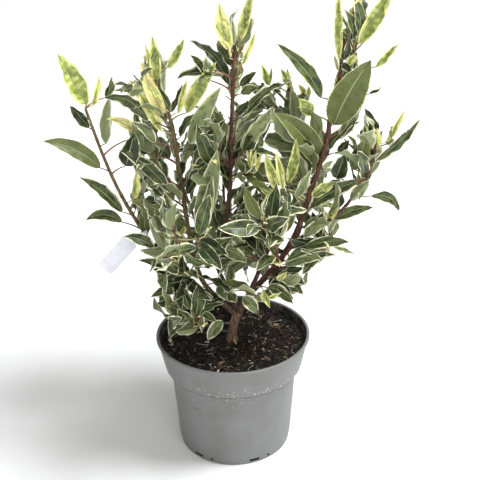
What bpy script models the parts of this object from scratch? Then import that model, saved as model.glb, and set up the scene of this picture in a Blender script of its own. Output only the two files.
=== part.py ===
"""A variegated Portuguese laurel growing in a round nursery pot.

Metres, +Z up. The origin is the centre of the pot's flat underside, and -Y is the
side the plant is seen from. Limbs and masses of foliage are worked out from the
routes and sizes named below.
"""

import math

import bmesh
import bpy
from mathutils import Matrix, Vector, noise

# Pot: one moulding, with a deep stepped band under a rounded lip
POT_HEIGHT = 0.150
POT_WALL = 0.0016
POT_FLOOR = 0.0020
BASE_RADIUS = 0.0709
BODY_TOP_RADIUS = 0.0785
BAND_LOW_RADIUS = 0.0856
BAND_TOP_RADIUS = 0.0932
LIP_RADIUS = 0.0950
LIP_DEPTH = 0.0030
LIP_ROLL = 0.0009
BAND_BOTTOM = 0.1075
EDGE_ROUND = 0.0010
POT_SEGMENTS = 32

# Drain slots: windows through the wall just above the base, in pairs
SLOT_PAIRS = 6
SLOT_FIRST_ANGLE = math.radians(20)
SLOT_SECOND_ANGLE = math.radians(36)
SLOT_WIDTH = 0.0130
SLOT_SECOND_WIDTH = 0.0030
SLOT_LOW = 0.0030
SLOT_HIGH = 0.0065
SLOT_CUT_DEPTH = 0.010

# Meshes hold 32-bit numbers, so touching pieces keep this much between them
GAP = 0.0003
WALL_GAP = 2 * GAP

# Soil: fills the pot to a little under its lip, flat round the trunk and lumpy beyond
SOIL_TOP = 0.1385
SOIL_FLAT_RADIUS = 0.016
SOIL_RING_RADIUS = 0.048
SOIL_LUMP = 0.0016
SOIL_LUMPS_PER_METRE = 60

# Trunk: from the soil up to the fork
TRUNK_ROUTE = [
    (-0.001, 0.000, SOIL_TOP + GAP),
    (0.000, 0.000, 0.152),
    (0.003, 0.000, 0.166),
    (0.007, 0.000, 0.177),
]
TRUNK_FOOT_RADIUS = 0.0078
TRUNK_LOW_RADIUS = 0.0048
TRUNK_TOP_RADIUS = 0.0052
TRUNK_FLARE_POWER = 5
TRUNK_SIDES = 12

# Boughs: route through a few points, radius at the fork and at the far end
BOUGHS = {
    "bough_right": {
        "route": [
            (0.007, 0.000, 0.176),
            (0.022, -0.004, 0.204),
            (0.054, -0.026, 0.255),
            (0.075, -0.033, 0.297),
            (0.091, -0.025, 0.343),
            (0.108, -0.014, 0.395),
            (0.113, -0.008, 0.428),
            (0.121, -0.005, 0.462),
        ],
        "radii": (0.0039, 0.0016),
    },
    "bough_left_middle": {
        "route": [
            (0.006, 0.000, 0.172),
            (-0.013, 0.001, 0.191),
            (-0.036, 0.000, 0.223),
            (-0.047, 0.000, 0.272),
            (-0.055, 0.004, 0.345),
            (-0.062, 0.008, 0.408),
            (-0.070, 0.010, 0.436),
        ],
        "radii": (0.0034, 0.0015),
    },
    "bough_centre": {
        "route": [
            (0.006, 0.004, 0.175),
            (-0.001, 0.008, 0.200),
            (-0.007, 0.002, 0.245),
            (-0.006, -0.001, 0.284),
            (0.001, 0.000, 0.343),
            (0.003, 0.002, 0.396),
            (0.006, 0.004, 0.446),
        ],
        "radii": (0.0032, 0.0015),
    },
    "bough_left": {
        "route": [
            (-0.016, 0.001, 0.194),
            (-0.042, -0.007, 0.217),
            (-0.073, -0.006, 0.247),
            (-0.099, -0.002, 0.283),
            (-0.124, 0.000, 0.332),
            (-0.140, 0.000, 0.377),
            (-0.153, 0.000, 0.424),
        ],
        "radii": (0.0028, 0.0014),
    },
    "bough_back_right": {
        "route": [
            (0.010, 0.002, 0.176),
            (0.030, 0.022, 0.212),
            (0.056, 0.040, 0.270),
            (0.078, 0.048, 0.335),
            (0.080, 0.052, 0.392),
            (0.074, 0.059, 0.412),
        ],
        "radii": (0.0030, 0.0014),
    },
    "bough_back_left": {
        "route": [
            (-0.001, 0.009, 0.196),
            (-0.022, 0.040, 0.228),
            (-0.048, 0.068, 0.282),
            (-0.066, 0.084, 0.336),
        ],
        "radii": (0.0026, 0.0015),
    },
    "bough_right_outer": {
        "route": [
            (0.056, -0.027, 0.259),
            (0.083, -0.032, 0.292),
            (0.118, -0.031, 0.314),
            (0.141, -0.026, 0.340),
        ],
        "radii": (0.0022, 0.0015),
    },
    "bough_back_centre": {
        "route": [
            (-0.003, 0.010, 0.212),
            (-0.008, 0.034, 0.262),
            (-0.008, 0.058, 0.312),
            (-0.008, 0.074, 0.346),
        ],
        "radii": (0.0022, 0.0015),
    },
    "bough_back_low": {
        "route": [
            (0.056, 0.041, 0.270),
            (0.070, 0.058, 0.284),
            (0.080, 0.074, 0.300),
        ],
        "radii": (0.0019, 0.0015),
    },
    "bough_front_left": {
        "route": [
            (-0.006, -0.001, 0.250),
            (-0.018, -0.030, 0.270),
            (-0.037, -0.070, 0.308),
        ],
        "radii": (0.0020, 0.0015),
    },
    "bough_front_right": {
        "route": [
            (0.052, -0.026, 0.253),
            (0.053, -0.046, 0.268),
            (0.051, -0.066, 0.292),
        ],
        "radii": (0.0020, 0.0015),
    },
    "bough_low_left": {
        "route": [
            (-0.002, -0.003, 0.150),
            (-0.022, -0.020, 0.166),
            (-0.038, -0.034, 0.182),
        ],
        "radii": (0.0016, 0.0012),
    },
}
BOUGH_SIDES = 6
ROUTE_STEPS = 2
ROUTE_FINE_STEPS = 20

# Masses of foliage: centre, and how far each reaches along X, Y and Z
MASSES = {
    "foliage_tip_left": ((-0.163, 0.002, 0.456), (0.025, 0.024, 0.046)),
    "foliage_side_left": ((-0.154, 0.004, 0.354), (0.056, 0.044, 0.062)),
    "foliage_tip_left_middle": ((-0.090, 0.014, 0.462), (0.052, 0.042, 0.058)),
    "foliage_left_middle": ((-0.076, 0.004, 0.366), (0.056, 0.050, 0.062)),
    "foliage_tip_centre": ((-0.002, 0.004, 0.488), (0.042, 0.038, 0.072)),
    "foliage_centre": ((0.004, -0.006, 0.378), (0.054, 0.056, 0.066)),
    "foliage_tip_back_right": ((0.064, 0.066, 0.434), (0.042, 0.042, 0.052)),
    "foliage_tip_right": ((0.120, -0.006, 0.502), (0.066, 0.040, 0.072)),
    "foliage_right": ((0.084, 0.002, 0.388), (0.050, 0.050, 0.066)),
    "foliage_side_right": ((0.162, -0.012, 0.368), (0.052, 0.046, 0.066)),
    "foliage_low_right": ((0.100, -0.020, 0.284), (0.048, 0.048, 0.048)),
    "foliage_low_left": ((-0.060, -0.026, 0.256), (0.045, 0.048, 0.040)),
    "foliage_skirt_left": ((-0.056, -0.048, 0.196), (0.046, 0.038, 0.036)),
    "foliage_skirt_right": ((0.048, -0.028, 0.228), (0.042, 0.038, 0.036)),
    "foliage_heart": ((0.008, -0.010, 0.288), (0.052, 0.054, 0.052)),
    "foliage_back_left": ((-0.092, 0.098, 0.346), (0.060, 0.052, 0.066)),
    "foliage_back_centre": ((-0.008, 0.092, 0.378), (0.056, 0.060, 0.070)),
    "foliage_back_right": ((0.092, 0.094, 0.324), (0.062, 0.052, 0.064)),
    "foliage_low_back": ((0.004, 0.072, 0.250), (0.070, 0.056, 0.048)),
    "foliage_front_left": ((-0.046, -0.090, 0.324), (0.052, 0.048, 0.056)),
    "foliage_front_right": ((0.048, -0.092, 0.322), (0.052, 0.048, 0.056)),
}
MASS_SIDES = 14
MASS_RINGS = 9
MASS_GAP = 0.0006
BROAD_LUMP = 0.30
LEAF_LUMP = 0.34
BROAD_SCALE = 1.7
LEAF_SCALE = 7.3
LUMP_SEED_SPREAD = 40

# Label: a bare plastic strip on a strap that loops round the left bough
LABEL_LENGTH = 0.052
LABEL_WIDTH = 0.020
LABEL_THICK = 0.0008
LABEL_TOP = (-0.1155, -0.0105, 0.2810)
LABEL_ANGLE = math.radians(48)
LABEL_LEAN = 0.05
LABEL_FACING = (0.0, -1.0, 0.25)
STRAP_WIDTH = 0.004
STRAP_THICK = 0.0012
STRAP_TUCK = 0.005
LOOP_WIDTH = 0.005
LOOP_THICK = 0.0009
LOOP_BOUGH = "bough_left"
LOOP_HEIGHT = 0.286
LOOP_SEGMENTS = 16

# Edges sharper than these stay crisp when a piece is shaded round
CRISP_ANGLE = math.radians(40)
CRISP_FOLIAGE_ANGLE = math.radians(60)


def clear_scene():
    for old in list(bpy.data.objects):
        bpy.data.objects.remove(old, do_unlink=True)


def finish(name, color, roughness):
    """One plain material: colour, roughness, and no metal anywhere on a potted plant."""
    made = bpy.data.materials.new(name)
    made.use_nodes = True
    shader = made.node_tree.nodes["Principled BSDF"]
    shader.inputs["Base Color"].default_value = (*color, 1.0)
    shader.inputs["Roughness"].default_value = roughness
    shader.inputs["Metallic"].default_value = 0.0
    return made


def add_object(name, shape, look, hidden=False):
    """Turns a bmesh into an object, and frees it."""
    bmesh.ops.recalc_face_normals(shape, faces=shape.faces)
    mesh = bpy.data.meshes.new(name)
    shape.to_mesh(mesh)
    shape.free()
    if look:
        mesh.materials.append(look)
    made = bpy.data.objects.new(name, mesh)
    bpy.context.scene.collection.objects.link(made)
    if hidden:
        made.hide_render = True
        made.display_type = "WIRE"
    return made


def shade_round(thing, sharp_angle=CRISP_ANGLE):
    thing.data.shade_smooth()
    thing.data.set_sharp_from_angle(angle=sharp_angle)


def boolean(thing, operation, cutter=None, cutters=None):
    """Adds a Boolean that takes one object, or every object of a collection."""
    made = thing.modifiers.new(operation.lower(), "BOOLEAN")
    made.operation = operation
    made.solver = "EXACT"
    if cutters:
        made.operand_type = "COLLECTION"
        made.collection = cutters
    else:
        made.object = cutter
    return made


def keep_largest_piece(thing):
    """Applies the modifiers, and drops the crumbs that a cut can leave beside the piece."""
    graph = bpy.context.evaluated_depsgraph_get()
    mesh = bpy.data.meshes.new_from_object(thing.evaluated_get(graph))
    thing.modifiers.clear()
    shape = bmesh.new()
    shape.from_mesh(mesh)
    left = set(shape.verts)
    pieces = []
    while left:
        piece = set()
        front = [left.pop()]
        while front:
            vert = front.pop()
            piece.add(vert)
            for edge in vert.link_edges:
                other = edge.other_vert(vert)
                if other in left:
                    left.remove(other)
                    front.append(other)
        pieces.append(piece)
    pieces.sort(key=len)
    crumbs = [vert for piece in pieces[:-1] for vert in piece]
    bmesh.ops.delete(shape, geom=crumbs, context="VERTS")
    shape.to_mesh(mesh)
    shape.free()
    thing.data = mesh


def turned(profile, segments):
    """A solid turned about Z from a profile of (radius, height) that starts and ends on the axis."""
    shape = bmesh.new()
    verts = [shape.verts.new((radius, 0.0, height)) for radius, height in profile]
    edges = [shape.edges.new(pair) for pair in zip(verts, verts[1:])]
    bmesh.ops.spin(
        shape,
        geom=verts + edges,
        cent=(0, 0, 0),
        axis=(0, 0, 1),
        angle=math.tau,
        steps=segments,
    )
    bmesh.ops.remove_doubles(shape, verts=shape.verts, dist=1e-6)
    return shape


def smooth_route(points, steps):
    """Points along the Catmull-Rom curve through the given ones, with steps to each stretch."""
    points = [Vector(point) for point in points]
    ends = [2 * points[0] - points[1], *points, 2 * points[-1] - points[-2]]
    route = []
    for before, start, end, after in zip(ends, ends[1:], ends[2:], ends[3:]):
        for step in range(steps):
            t = step / steps
            route.append(
                0.5
                * (
                    2 * start
                    + (end - before) * t
                    + (2 * before - 5 * start + 4 * end - after) * t**2
                    + (3 * start - before - 3 * end + after) * t**3
                )
            )
    return route + [points[-1]]


def swept(route, radii, sides, level_ends=False):
    """A round limb along a route, with a radius at each of its points and flat ends."""
    shape = bmesh.new()
    rings = []
    across = Vector((1, 0, 0))
    for index, (centre, radius) in enumerate(zip(route, radii)):
        before = route[max(index - 1, 0)]
        after = route[min(index + 1, len(route) - 1)]
        along = (after - before).normalized()
        if level_ends and index in (0, len(route) - 1):
            along = Vector((0, 0, 1))
        across = (across - across.dot(along) * along).normalized()
        beside = along.cross(across)
        ring = []
        for side in range(sides):
            angle = math.tau * side / sides
            offset = math.cos(angle) * across + math.sin(angle) * beside
            ring.append(shape.verts.new(centre + radius * offset))
        rings.append(ring)
    for low, high in zip(rings, rings[1:]):
        for side in range(sides):
            after = (side + 1) % sides
            shape.faces.new((low[side], low[after], high[after], high[side]))
    shape.faces.new(rings[0][::-1])
    shape.faces.new(rings[-1])
    return shape


def pot_profile():
    """The pot's section, from the centre of its underside round the lip to the centre of its floor."""
    inner_band_low = BAND_BOTTOM + POT_WALL
    return [
        (0.0, 0.0),
        (BASE_RADIUS - EDGE_ROUND, 0.0),
        (BASE_RADIUS, EDGE_ROUND),
        (BODY_TOP_RADIUS, BAND_BOTTOM),
        (BAND_LOW_RADIUS - EDGE_ROUND, BAND_BOTTOM),
        (BAND_LOW_RADIUS, BAND_BOTTOM + EDGE_ROUND),
        (BAND_TOP_RADIUS, POT_HEIGHT - LIP_DEPTH),
        (LIP_RADIUS, POT_HEIGHT - LIP_DEPTH + LIP_ROLL),
        (LIP_RADIUS, POT_HEIGHT - LIP_ROLL),
        (LIP_RADIUS - LIP_ROLL, POT_HEIGHT),
        (BAND_TOP_RADIUS - POT_WALL, POT_HEIGHT - LIP_ROLL),
        (BAND_LOW_RADIUS - POT_WALL, inner_band_low),
        (BODY_TOP_RADIUS - POT_WALL, inner_band_low),
        (BASE_RADIUS - POT_WALL, POT_FLOOR),
        (0.0, POT_FLOOR),
    ]


def slot_cutters():
    """One mesh of boxes, a wide and a narrow slot for each pair, set through the wall."""
    shape = bmesh.new()
    height = SLOT_HIGH - SLOT_LOW
    for pair in range(SLOT_PAIRS):
        turn = math.tau * pair / SLOT_PAIRS
        for angle, width in (
            (SLOT_FIRST_ANGLE, SLOT_WIDTH),
            (SLOT_SECOND_ANGLE, SLOT_SECOND_WIDTH),
        ):
            place = (
                Matrix.Rotation(angle + turn, 4, "Z")
                @ Matrix.Translation((0, -BASE_RADIUS, SLOT_LOW + height / 2))
                @ Matrix.Diagonal((width, SLOT_CUT_DEPTH, height, 1))
            )
            bmesh.ops.create_cube(shape, size=1.0, matrix=place)
    return shape


def make_pot(look):
    pot = add_object("pot", turned(pot_profile(), POT_SEGMENTS), look)
    slots = add_object("slot_cutters", slot_cutters(), None, hidden=True)
    boolean(pot, "DIFFERENCE", cutter=slots)
    shade_round(pot)


def make_soil(look):
    """The root ball: the inside of the pot less the gap, with an uneven top that is flat at the trunk."""
    inner_band_low = BAND_BOTTOM + POT_WALL
    band_share = (SOIL_TOP - inner_band_low) / (POT_HEIGHT - inner_band_low)
    band_slope = BAND_TOP_RADIUS - BAND_LOW_RADIUS
    rim_radius = BAND_LOW_RADIUS + band_share * band_slope - POT_WALL - WALL_GAP
    profile = [
        (0.0, POT_FLOOR + GAP),
        (BASE_RADIUS - POT_WALL - WALL_GAP, POT_FLOOR + GAP),
        (BODY_TOP_RADIUS - POT_WALL - WALL_GAP, inner_band_low + GAP),
        (BAND_LOW_RADIUS - POT_WALL - WALL_GAP, inner_band_low + GAP),
        (rim_radius, SOIL_TOP),
        (SOIL_RING_RADIUS, SOIL_TOP),
        (SOIL_FLAT_RADIUS, SOIL_TOP),
        (0.0, SOIL_TOP),
    ]
    shape = turned(profile, POT_SEGMENTS)
    for vert in shape.verts:
        radius = math.hypot(vert.co.x, vert.co.y)
        inside = SOIL_FLAT_RADIUS + GAP < radius < rim_radius - GAP
        if inside and vert.co.z > SOIL_TOP - GAP:
            vert.co.z += SOIL_LUMP * noise.noise(SOIL_LUMPS_PER_METRE * vert.co)
    soil = add_object("soil", shape, look)
    shade_round(soil)


def trunk_shape(extra=0.0):
    """The trunk, flared at its foot and a little swollen at the fork, and thicker by extra all round."""
    route = smooth_route(TRUNK_ROUTE, ROUTE_STEPS)
    radii = []
    for index in range(len(route)):
        share = index / (len(route) - 1)
        straight = TRUNK_LOW_RADIUS + share * (TRUNK_TOP_RADIUS - TRUNK_LOW_RADIUS)
        flare = (TRUNK_FOOT_RADIUS - TRUNK_LOW_RADIUS) * (1 - share) ** TRUNK_FLARE_POWER
        radii.append(straight + flare + extra)
    if extra:
        route[-1] = route[-1] + Vector((0, 0, extra))
    return swept(route, radii, TRUNK_SIDES, level_ends=True)


def bough_shape(name, extra=0.0):
    """One bough, tapering evenly, and with extra thicker and longer by that much."""
    bough = BOUGHS[name]
    route = smooth_route(bough["route"], ROUTE_STEPS)
    low, high = bough["radii"]
    last = len(route) - 1
    radii = [low + (high - low) * index / last + extra for index in range(last + 1)]
    if extra:
        route[0] = route[0] + extra * (route[0] - route[1]).normalized()
        route[-1] = route[-1] + extra * (route[-1] - route[-2]).normalized()
    return swept(route, radii, BOUGH_SIDES)


def make_limbs(look):
    """The trunk and boughs. Each bough is cut clear of the limbs made before it, and every limb
    leaves a slightly thicker copy of itself in a collection, for cutting the foliage."""
    cutters = bpy.data.collections.new("limb_cutters")
    add_object("trunk", trunk_shape(), look)
    shade_round(bpy.data.objects["trunk"])
    around = [add_object("trunk_cutter", trunk_shape(GAP), None, hidden=True)]
    cutters.objects.link(around[0])
    for name in BOUGHS:
        bough = add_object(name, bough_shape(name), look)
        for limb in around:
            boolean(bough, "DIFFERENCE", cutter=limb)
        keep_largest_piece(bough)
        shade_round(bough)
        cutter = add_object(name + "_cutter", bough_shape(name, GAP), None, hidden=True)
        cutters.objects.link(cutter)
        around.append(cutter)
    return cutters


def reach_along(way, half):
    """How far an ellipsoid with these half sizes reaches along a direction, to its tangent plane."""
    return math.sqrt(sum((part * size) ** 2 for part, size in zip(way, half)))


def lumpy_points(directions, half, place):
    """Points round a mass's centre: an ellipsoid with lumps, stretched to touch its box on every side."""
    points = []
    for way in directions:
        radius = 1 / math.sqrt(sum((part / size) ** 2 for part, size in zip(way, half)))
        lump = BROAD_LUMP * noise.noise(BROAD_SCALE * way + place)
        lump += LEAF_LUMP * noise.noise(LEAF_SCALE * way - place)
        points.append(way * radius * (1 + lump))
    for axis in range(3):
        low = min(point[axis] for point in points)
        high = max(point[axis] for point in points)
        for point in points:
            side = high if point[axis] > 0 else -low
            point[axis] *= half[axis] / side
    return points


def foliage_shape(name):
    """One mass, pushed back to the planes that part it from its neighbours."""
    centre, half = MASSES[name]
    centre = Vector(centre)
    shape = bmesh.new()
    bmesh.ops.create_uvsphere(shape, u_segments=MASS_SIDES, v_segments=MASS_RINGS, radius=1.0)
    directions = [vert.co.normalized() for vert in shape.verts]
    points = lumpy_points(directions, half, LUMP_SEED_SPREAD * centre)
    for other, (other_centre, other_half) in MASSES.items():
        if other == name:
            continue
        between = Vector(other_centre) - centre
        distance = between.length
        way = between.normalized()
        own = reach_along(way, half)
        theirs = reach_along(way, other_half)
        limit = distance * own / (own + theirs) - MASS_GAP / 2
        for index, point in enumerate(points):
            if point.dot(way) > limit:
                points[index] = point * (limit / point.dot(way))
    for vert, point in zip(shape.verts, points):
        vert.co = centre + point
    return shape


def make_foliage(look, limb_cutters):
    for name in MASSES:
        mass = add_object(name, foliage_shape(name), look)
        boolean(mass, "DIFFERENCE", cutters=limb_cutters)
        keep_largest_piece(mass)
        shade_round(mass, CRISP_FOLIAGE_ANGLE)


def loop_place():
    """Where the label's strap goes round its bough: a point on it, its direction and its radius."""
    bough = BOUGHS[LOOP_BOUGH]
    route = smooth_route(bough["route"], ROUTE_FINE_STEPS)
    index = min(range(len(route)), key=lambda at: abs(route[at].z - LOOP_HEIGHT))
    along = (route[index + 1] - route[index - 1]).normalized()
    low, high = bough["radii"]
    return route[index], along, low + (high - low) * index / (len(route) - 1)


def strip(start, end, width, thick, facing):
    """A flat strip between two points, with its broad side square to the facing direction."""
    along = (end - start).normalized()
    beside = along.cross(facing).normalized()
    normal = beside.cross(along)
    place = Matrix(
        (
            (*(along * (end - start).length), 0),
            (*(beside * width), 0),
            (*(normal * thick), 0),
            (*((start + end) / 2), 1),
        )
    ).transposed()
    shape = bmesh.new()
    bmesh.ops.create_cube(shape, size=1.0, matrix=place)
    return shape


def make_label(look):
    """The loop round the bough, the strap and the strip, joined into one piece."""
    centre, along, bough_radius = loop_place()
    inner = bough_radius + WALL_GAP
    outer = inner + LOOP_THICK
    half = LOOP_WIDTH / 2
    place = Matrix.Translation(centre) @ along.to_track_quat("Z", "Y").to_matrix().to_4x4()
    loop = turned([(0, -half), (outer, -half), (outer, half), (0, half)], LOOP_SEGMENTS)
    bmesh.ops.transform(loop, matrix=place, verts=loop.verts)
    bore = [(0, -LOOP_WIDTH), (inner, -LOOP_WIDTH), (inner, LOOP_WIDTH), (0, LOOP_WIDTH)]
    hole = turned(bore, LOOP_SEGMENTS)
    bmesh.ops.transform(hole, matrix=place, verts=hole.verts)
    facing = Vector(LABEL_FACING).normalized()
    top = Vector(LABEL_TOP)
    down = Vector((-math.cos(LABEL_ANGLE), LABEL_LEAN, -math.sin(LABEL_ANGLE))).normalized()
    plate = strip(top, top + LABEL_LENGTH * down, LABEL_WIDTH, LABEL_THICK, facing)
    strap = strip(centre, top + STRAP_TUCK * down, STRAP_WIDTH, STRAP_THICK, facing)
    label = add_object("label", plate, look)
    boolean(label, "UNION", cutter=add_object("label_strap", strap, None, hidden=True))
    boolean(label, "UNION", cutter=add_object("label_loop", loop, None, hidden=True))
    boolean(label, "DIFFERENCE", cutter=add_object("label_hole", hole, None, hidden=True))
    keep_largest_piece(label)


clear_scene()
make_pot(finish("grey_plastic", (0.20, 0.205, 0.20), 0.5))
make_soil(finish("bark_compost", (0.018, 0.013, 0.010), 0.95))
wood_cutters = make_limbs(finish("bark", (0.12, 0.055, 0.032), 0.75))
make_foliage(finish("leaves", (0.13, 0.19, 0.06), 0.5), wood_cutters)
make_label(finish("white_plastic", (0.75, 0.76, 0.80), 0.4))
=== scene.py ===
import math
from collections import namedtuple

import bpy
import numpy as np
from mathutils import Matrix, Vector, noise


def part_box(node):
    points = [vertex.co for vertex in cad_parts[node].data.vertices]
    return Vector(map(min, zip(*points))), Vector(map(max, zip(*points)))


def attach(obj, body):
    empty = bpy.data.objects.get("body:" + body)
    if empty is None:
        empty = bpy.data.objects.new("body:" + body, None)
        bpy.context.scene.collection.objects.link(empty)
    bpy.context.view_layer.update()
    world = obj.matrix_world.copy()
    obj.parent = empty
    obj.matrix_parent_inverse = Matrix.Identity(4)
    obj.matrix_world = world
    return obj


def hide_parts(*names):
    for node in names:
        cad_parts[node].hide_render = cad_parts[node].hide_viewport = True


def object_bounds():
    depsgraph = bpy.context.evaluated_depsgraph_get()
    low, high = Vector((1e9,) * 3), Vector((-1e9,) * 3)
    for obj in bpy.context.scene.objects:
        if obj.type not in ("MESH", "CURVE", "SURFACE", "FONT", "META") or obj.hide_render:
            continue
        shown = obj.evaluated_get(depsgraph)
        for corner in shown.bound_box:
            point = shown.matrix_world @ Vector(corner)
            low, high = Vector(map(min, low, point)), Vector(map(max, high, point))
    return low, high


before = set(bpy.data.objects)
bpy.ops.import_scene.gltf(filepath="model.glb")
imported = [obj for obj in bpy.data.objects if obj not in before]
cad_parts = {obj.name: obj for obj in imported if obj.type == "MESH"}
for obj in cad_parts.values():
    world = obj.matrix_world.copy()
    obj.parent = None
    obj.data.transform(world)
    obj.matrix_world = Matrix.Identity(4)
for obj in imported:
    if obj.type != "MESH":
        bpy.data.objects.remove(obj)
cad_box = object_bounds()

# View: the plant stands on a plain white sweep and is seen from a little above, from the height,
# distance and tilt that the photograph was taken at. A broad soft lamp hangs at the upper right and
# a far weaker one in front. The surround is white, brightest low down, and the sweep glows further off.
FRAME_PX = 480
FOCAL_PX = 803.3
SENSOR_MM = 36.0
EYE = np.array((0.011, -0.865, 0.660))
NEAREST_SEEN = 0.01
TILT = math.radians(24.06)
ROLL = math.radians(-1.08)
AHEAD = np.array((0.0, math.cos(TILT), -math.sin(TILT)))
LEVEL_RIGHT = np.array((1.0, 0.0, 0.0))
LEVEL_UP = np.array((0.0, math.sin(TILT), math.cos(TILT)))
VIEW_RIGHT = math.cos(ROLL) * LEVEL_RIGHT + math.sin(ROLL) * LEVEL_UP
VIEW_UP = math.cos(ROLL) * LEVEL_UP - math.sin(ROLL) * LEVEL_RIGHT

camera = bpy.data.objects.new("camera", bpy.data.cameras.new("camera"))
camera.data.sensor_width = SENSOR_MM
camera.data.lens = FOCAL_PX / FRAME_PX * SENSOR_MM
camera.data.clip_start = NEAREST_SEEN
turn = Matrix([VIEW_RIGHT, VIEW_UP, -AHEAD]).transposed().to_4x4()
camera.matrix_world = Matrix.Translation(EYE) @ turn
bpy.context.scene.collection.objects.link(camera)
bpy.context.scene.camera = camera
bpy.context.scene.view_settings.view_transform = "Standard"


def unit(vectors):
    """The same vectors, one or many, each one metre long."""
    return vectors / np.linalg.norm(vectors, axis=-1, keepdims=True)


def seen_at(pixel, depth):
    """The point at this depth along Y that the camera sees at a pixel of the photograph."""
    across = pixel[0] - FRAME_PX / 2
    down = pixel[1] - FRAME_PX / 2
    sight = FOCAL_PX * AHEAD + across * VIEW_RIGHT - down * VIEW_UP
    return EYE + sight * (depth - EYE[1]) / sight[1]


def pixels_of(points):
    """Where the camera sees these points, in pixels of the photograph."""
    away = points - EYE
    scale = FOCAL_PX / (away @ AHEAD)
    return FRAME_PX / 2 + np.stack((away @ VIEW_RIGHT * scale, -(away @ VIEW_UP) * scale), -1)


LAMP_AIM = Vector((0.0, 0.0, 0.25))


def lamp(name, place, size, power, tint):
    """A round soft lamp that faces the middle of the plant."""
    light = bpy.data.lights.new(name, "AREA")
    light.shape = "DISK"
    light.size = size
    light.energy = power
    light.color = tint
    holder = bpy.data.objects.new(name, light)
    facing = (LAMP_AIM - Vector(place)).to_track_quat("-Z", "Y")
    holder.matrix_world = Matrix.Translation(place) @ facing.to_matrix().to_4x4()
    bpy.context.scene.collection.objects.link(holder)


lamp("key_lamp", place=(0.88, -0.14, 1.85), size=0.85, power=50.0, tint=(0.98, 0.99, 1.0))
lamp("front_lamp", place=(0.55, -1.6, 1.15), size=1.0, power=7.0, tint=(1.0, 0.98, 0.95))


def new_finish(name, color, roughness, specular=0.5):
    """A finish with its plain colour, gloss and highlight, and the nodes and links to add detail to it."""
    made = bpy.data.materials.new(name)
    made.use_nodes = True
    shader = made.node_tree.nodes["Principled BSDF"]
    shader.inputs["Base Color"].default_value = (*color, 1.0)
    shader.inputs["Roughness"].default_value = roughness
    shader.inputs["Specular IOR Level"].default_value = specular
    made.diffuse_color = (*color, 1.0)
    return made


def node(finish, kind, inputs=None, **settings):
    """Adds a node to a finish. An input that is given as another node's socket is linked to it."""
    made = finish.node_tree.nodes.new(kind)
    for key, value in settings.items():
        setattr(made, key, value)
    for key, value in (inputs or {}).items():
        if isinstance(value, bpy.types.NodeSocket):
            finish.node_tree.links.new(value, made.inputs[key])
        else:
            made.inputs[key].default_value = value
    return made


def drive(finish, socket, source):
    """Links a node's output to one of the shader's own sockets."""
    shader = finish.node_tree.nodes["Principled BSDF"]
    finish.node_tree.links.new(source, shader.inputs[socket])


def grain(finish, scale, stretch=(1.0, 1.0, 1.0), detail=3.0, roughness=0.5):
    """Noise that lies in the piece's own coordinates, in cycles to the metre."""
    where = node(finish, "ShaderNodeTexCoord")
    sized = node(finish, "ShaderNodeMapping", {"Vector": where.outputs["Object"], "Scale": stretch})
    return node(
        finish,
        "ShaderNodeTexNoise",
        {"Vector": sized.outputs["Vector"], "Scale": scale, "Detail": detail, "Roughness": roughness},
    )


def ramp(finish, source, stops):
    """Colours laid along a value, as (place, colour) stops."""
    made = node(finish, "ShaderNodeValToRGB", {"Fac": source})
    band = made.color_ramp
    while len(band.elements) < len(stops):
        band.elements.new(0.5)
    for element, (place, color) in zip(band.elements, stops):
        element.position = place
        element.color = (*color, 1.0)
    return made


def relief(finish, source, strength, distance):
    """Bumps the surface by a value."""
    bump = node(
        finish,
        "ShaderNodeBump",
        {"Height": source, "Strength": strength, "Distance": distance},
    )
    drive(finish, "Normal", bump.outputs["Normal"])


CRISP_ANGLE = math.radians(45)


def mesh_piece(name, heap, finishes, crisp=CRISP_ANGLE):
    """One joined mesh from a heap of parts, each with its points and its (faces, slots) lists."""
    points, corners, totals, slots = [], [], [], []
    start = 0
    for part_points, part_faces in heap:
        for faces, slot in part_faces:
            corners.append((faces + start).ravel())
            totals.append(np.full(len(faces), faces.shape[1]))
            slots.append(np.broadcast_to(slot, len(faces)))
        points.append(part_points)
        start += len(part_points)
    points = np.concatenate(points)
    corners = np.concatenate(corners)
    totals = np.concatenate(totals)
    mesh = bpy.data.meshes.new(name)
    mesh.vertices.add(len(points))
    mesh.vertices.foreach_set("co", points.astype(np.float32).ravel())
    mesh.loops.add(len(corners))
    mesh.loops.foreach_set("vertex_index", corners.astype(np.int32))
    mesh.polygons.add(len(totals))
    starts = np.cumsum(totals) - totals
    mesh.polygons.foreach_set("loop_start", starts.astype(np.int32))
    mesh.polygons.foreach_set("material_index", np.concatenate(slots).astype(np.int32))
    mesh.update(calc_edges=True)
    mesh.validate()
    mesh.shade_smooth()
    mesh.set_sharp_from_angle(angle=crisp)
    for finish in finishes:
        mesh.materials.append(finish)
    piece = bpy.data.objects.new(name, mesh)
    bpy.context.scene.collection.objects.link(piece)
    return piece


LOW_SKY = 1.0
HIGH_SKY = 0.42
LOW_SKY_ENDS = 0.14
HIGH_SKY_STARTS = 0.42
surround = bpy.data.worlds.new("surround")
surround.use_nodes = True
background = surround.node_tree.nodes["Background"]
background.inputs["Color"].default_value = (1.0, 1.0, 1.0, 1.0)
sight = node(surround, "ShaderNodeTexCoord")
climb = node(surround, "ShaderNodeSeparateXYZ", {"Vector": sight.outputs["Generated"]})
sky_span = {"From Min": LOW_SKY_ENDS, "From Max": HIGH_SKY_STARTS, "To Min": LOW_SKY, "To Max": HIGH_SKY}
bright = node(surround, "ShaderNodeMapRange", {"Value": climb.outputs["Z"], **sky_span})
surround.node_tree.links.new(bright.outputs["Result"], background.inputs["Strength"])
bpy.context.scene.world = surround

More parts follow.
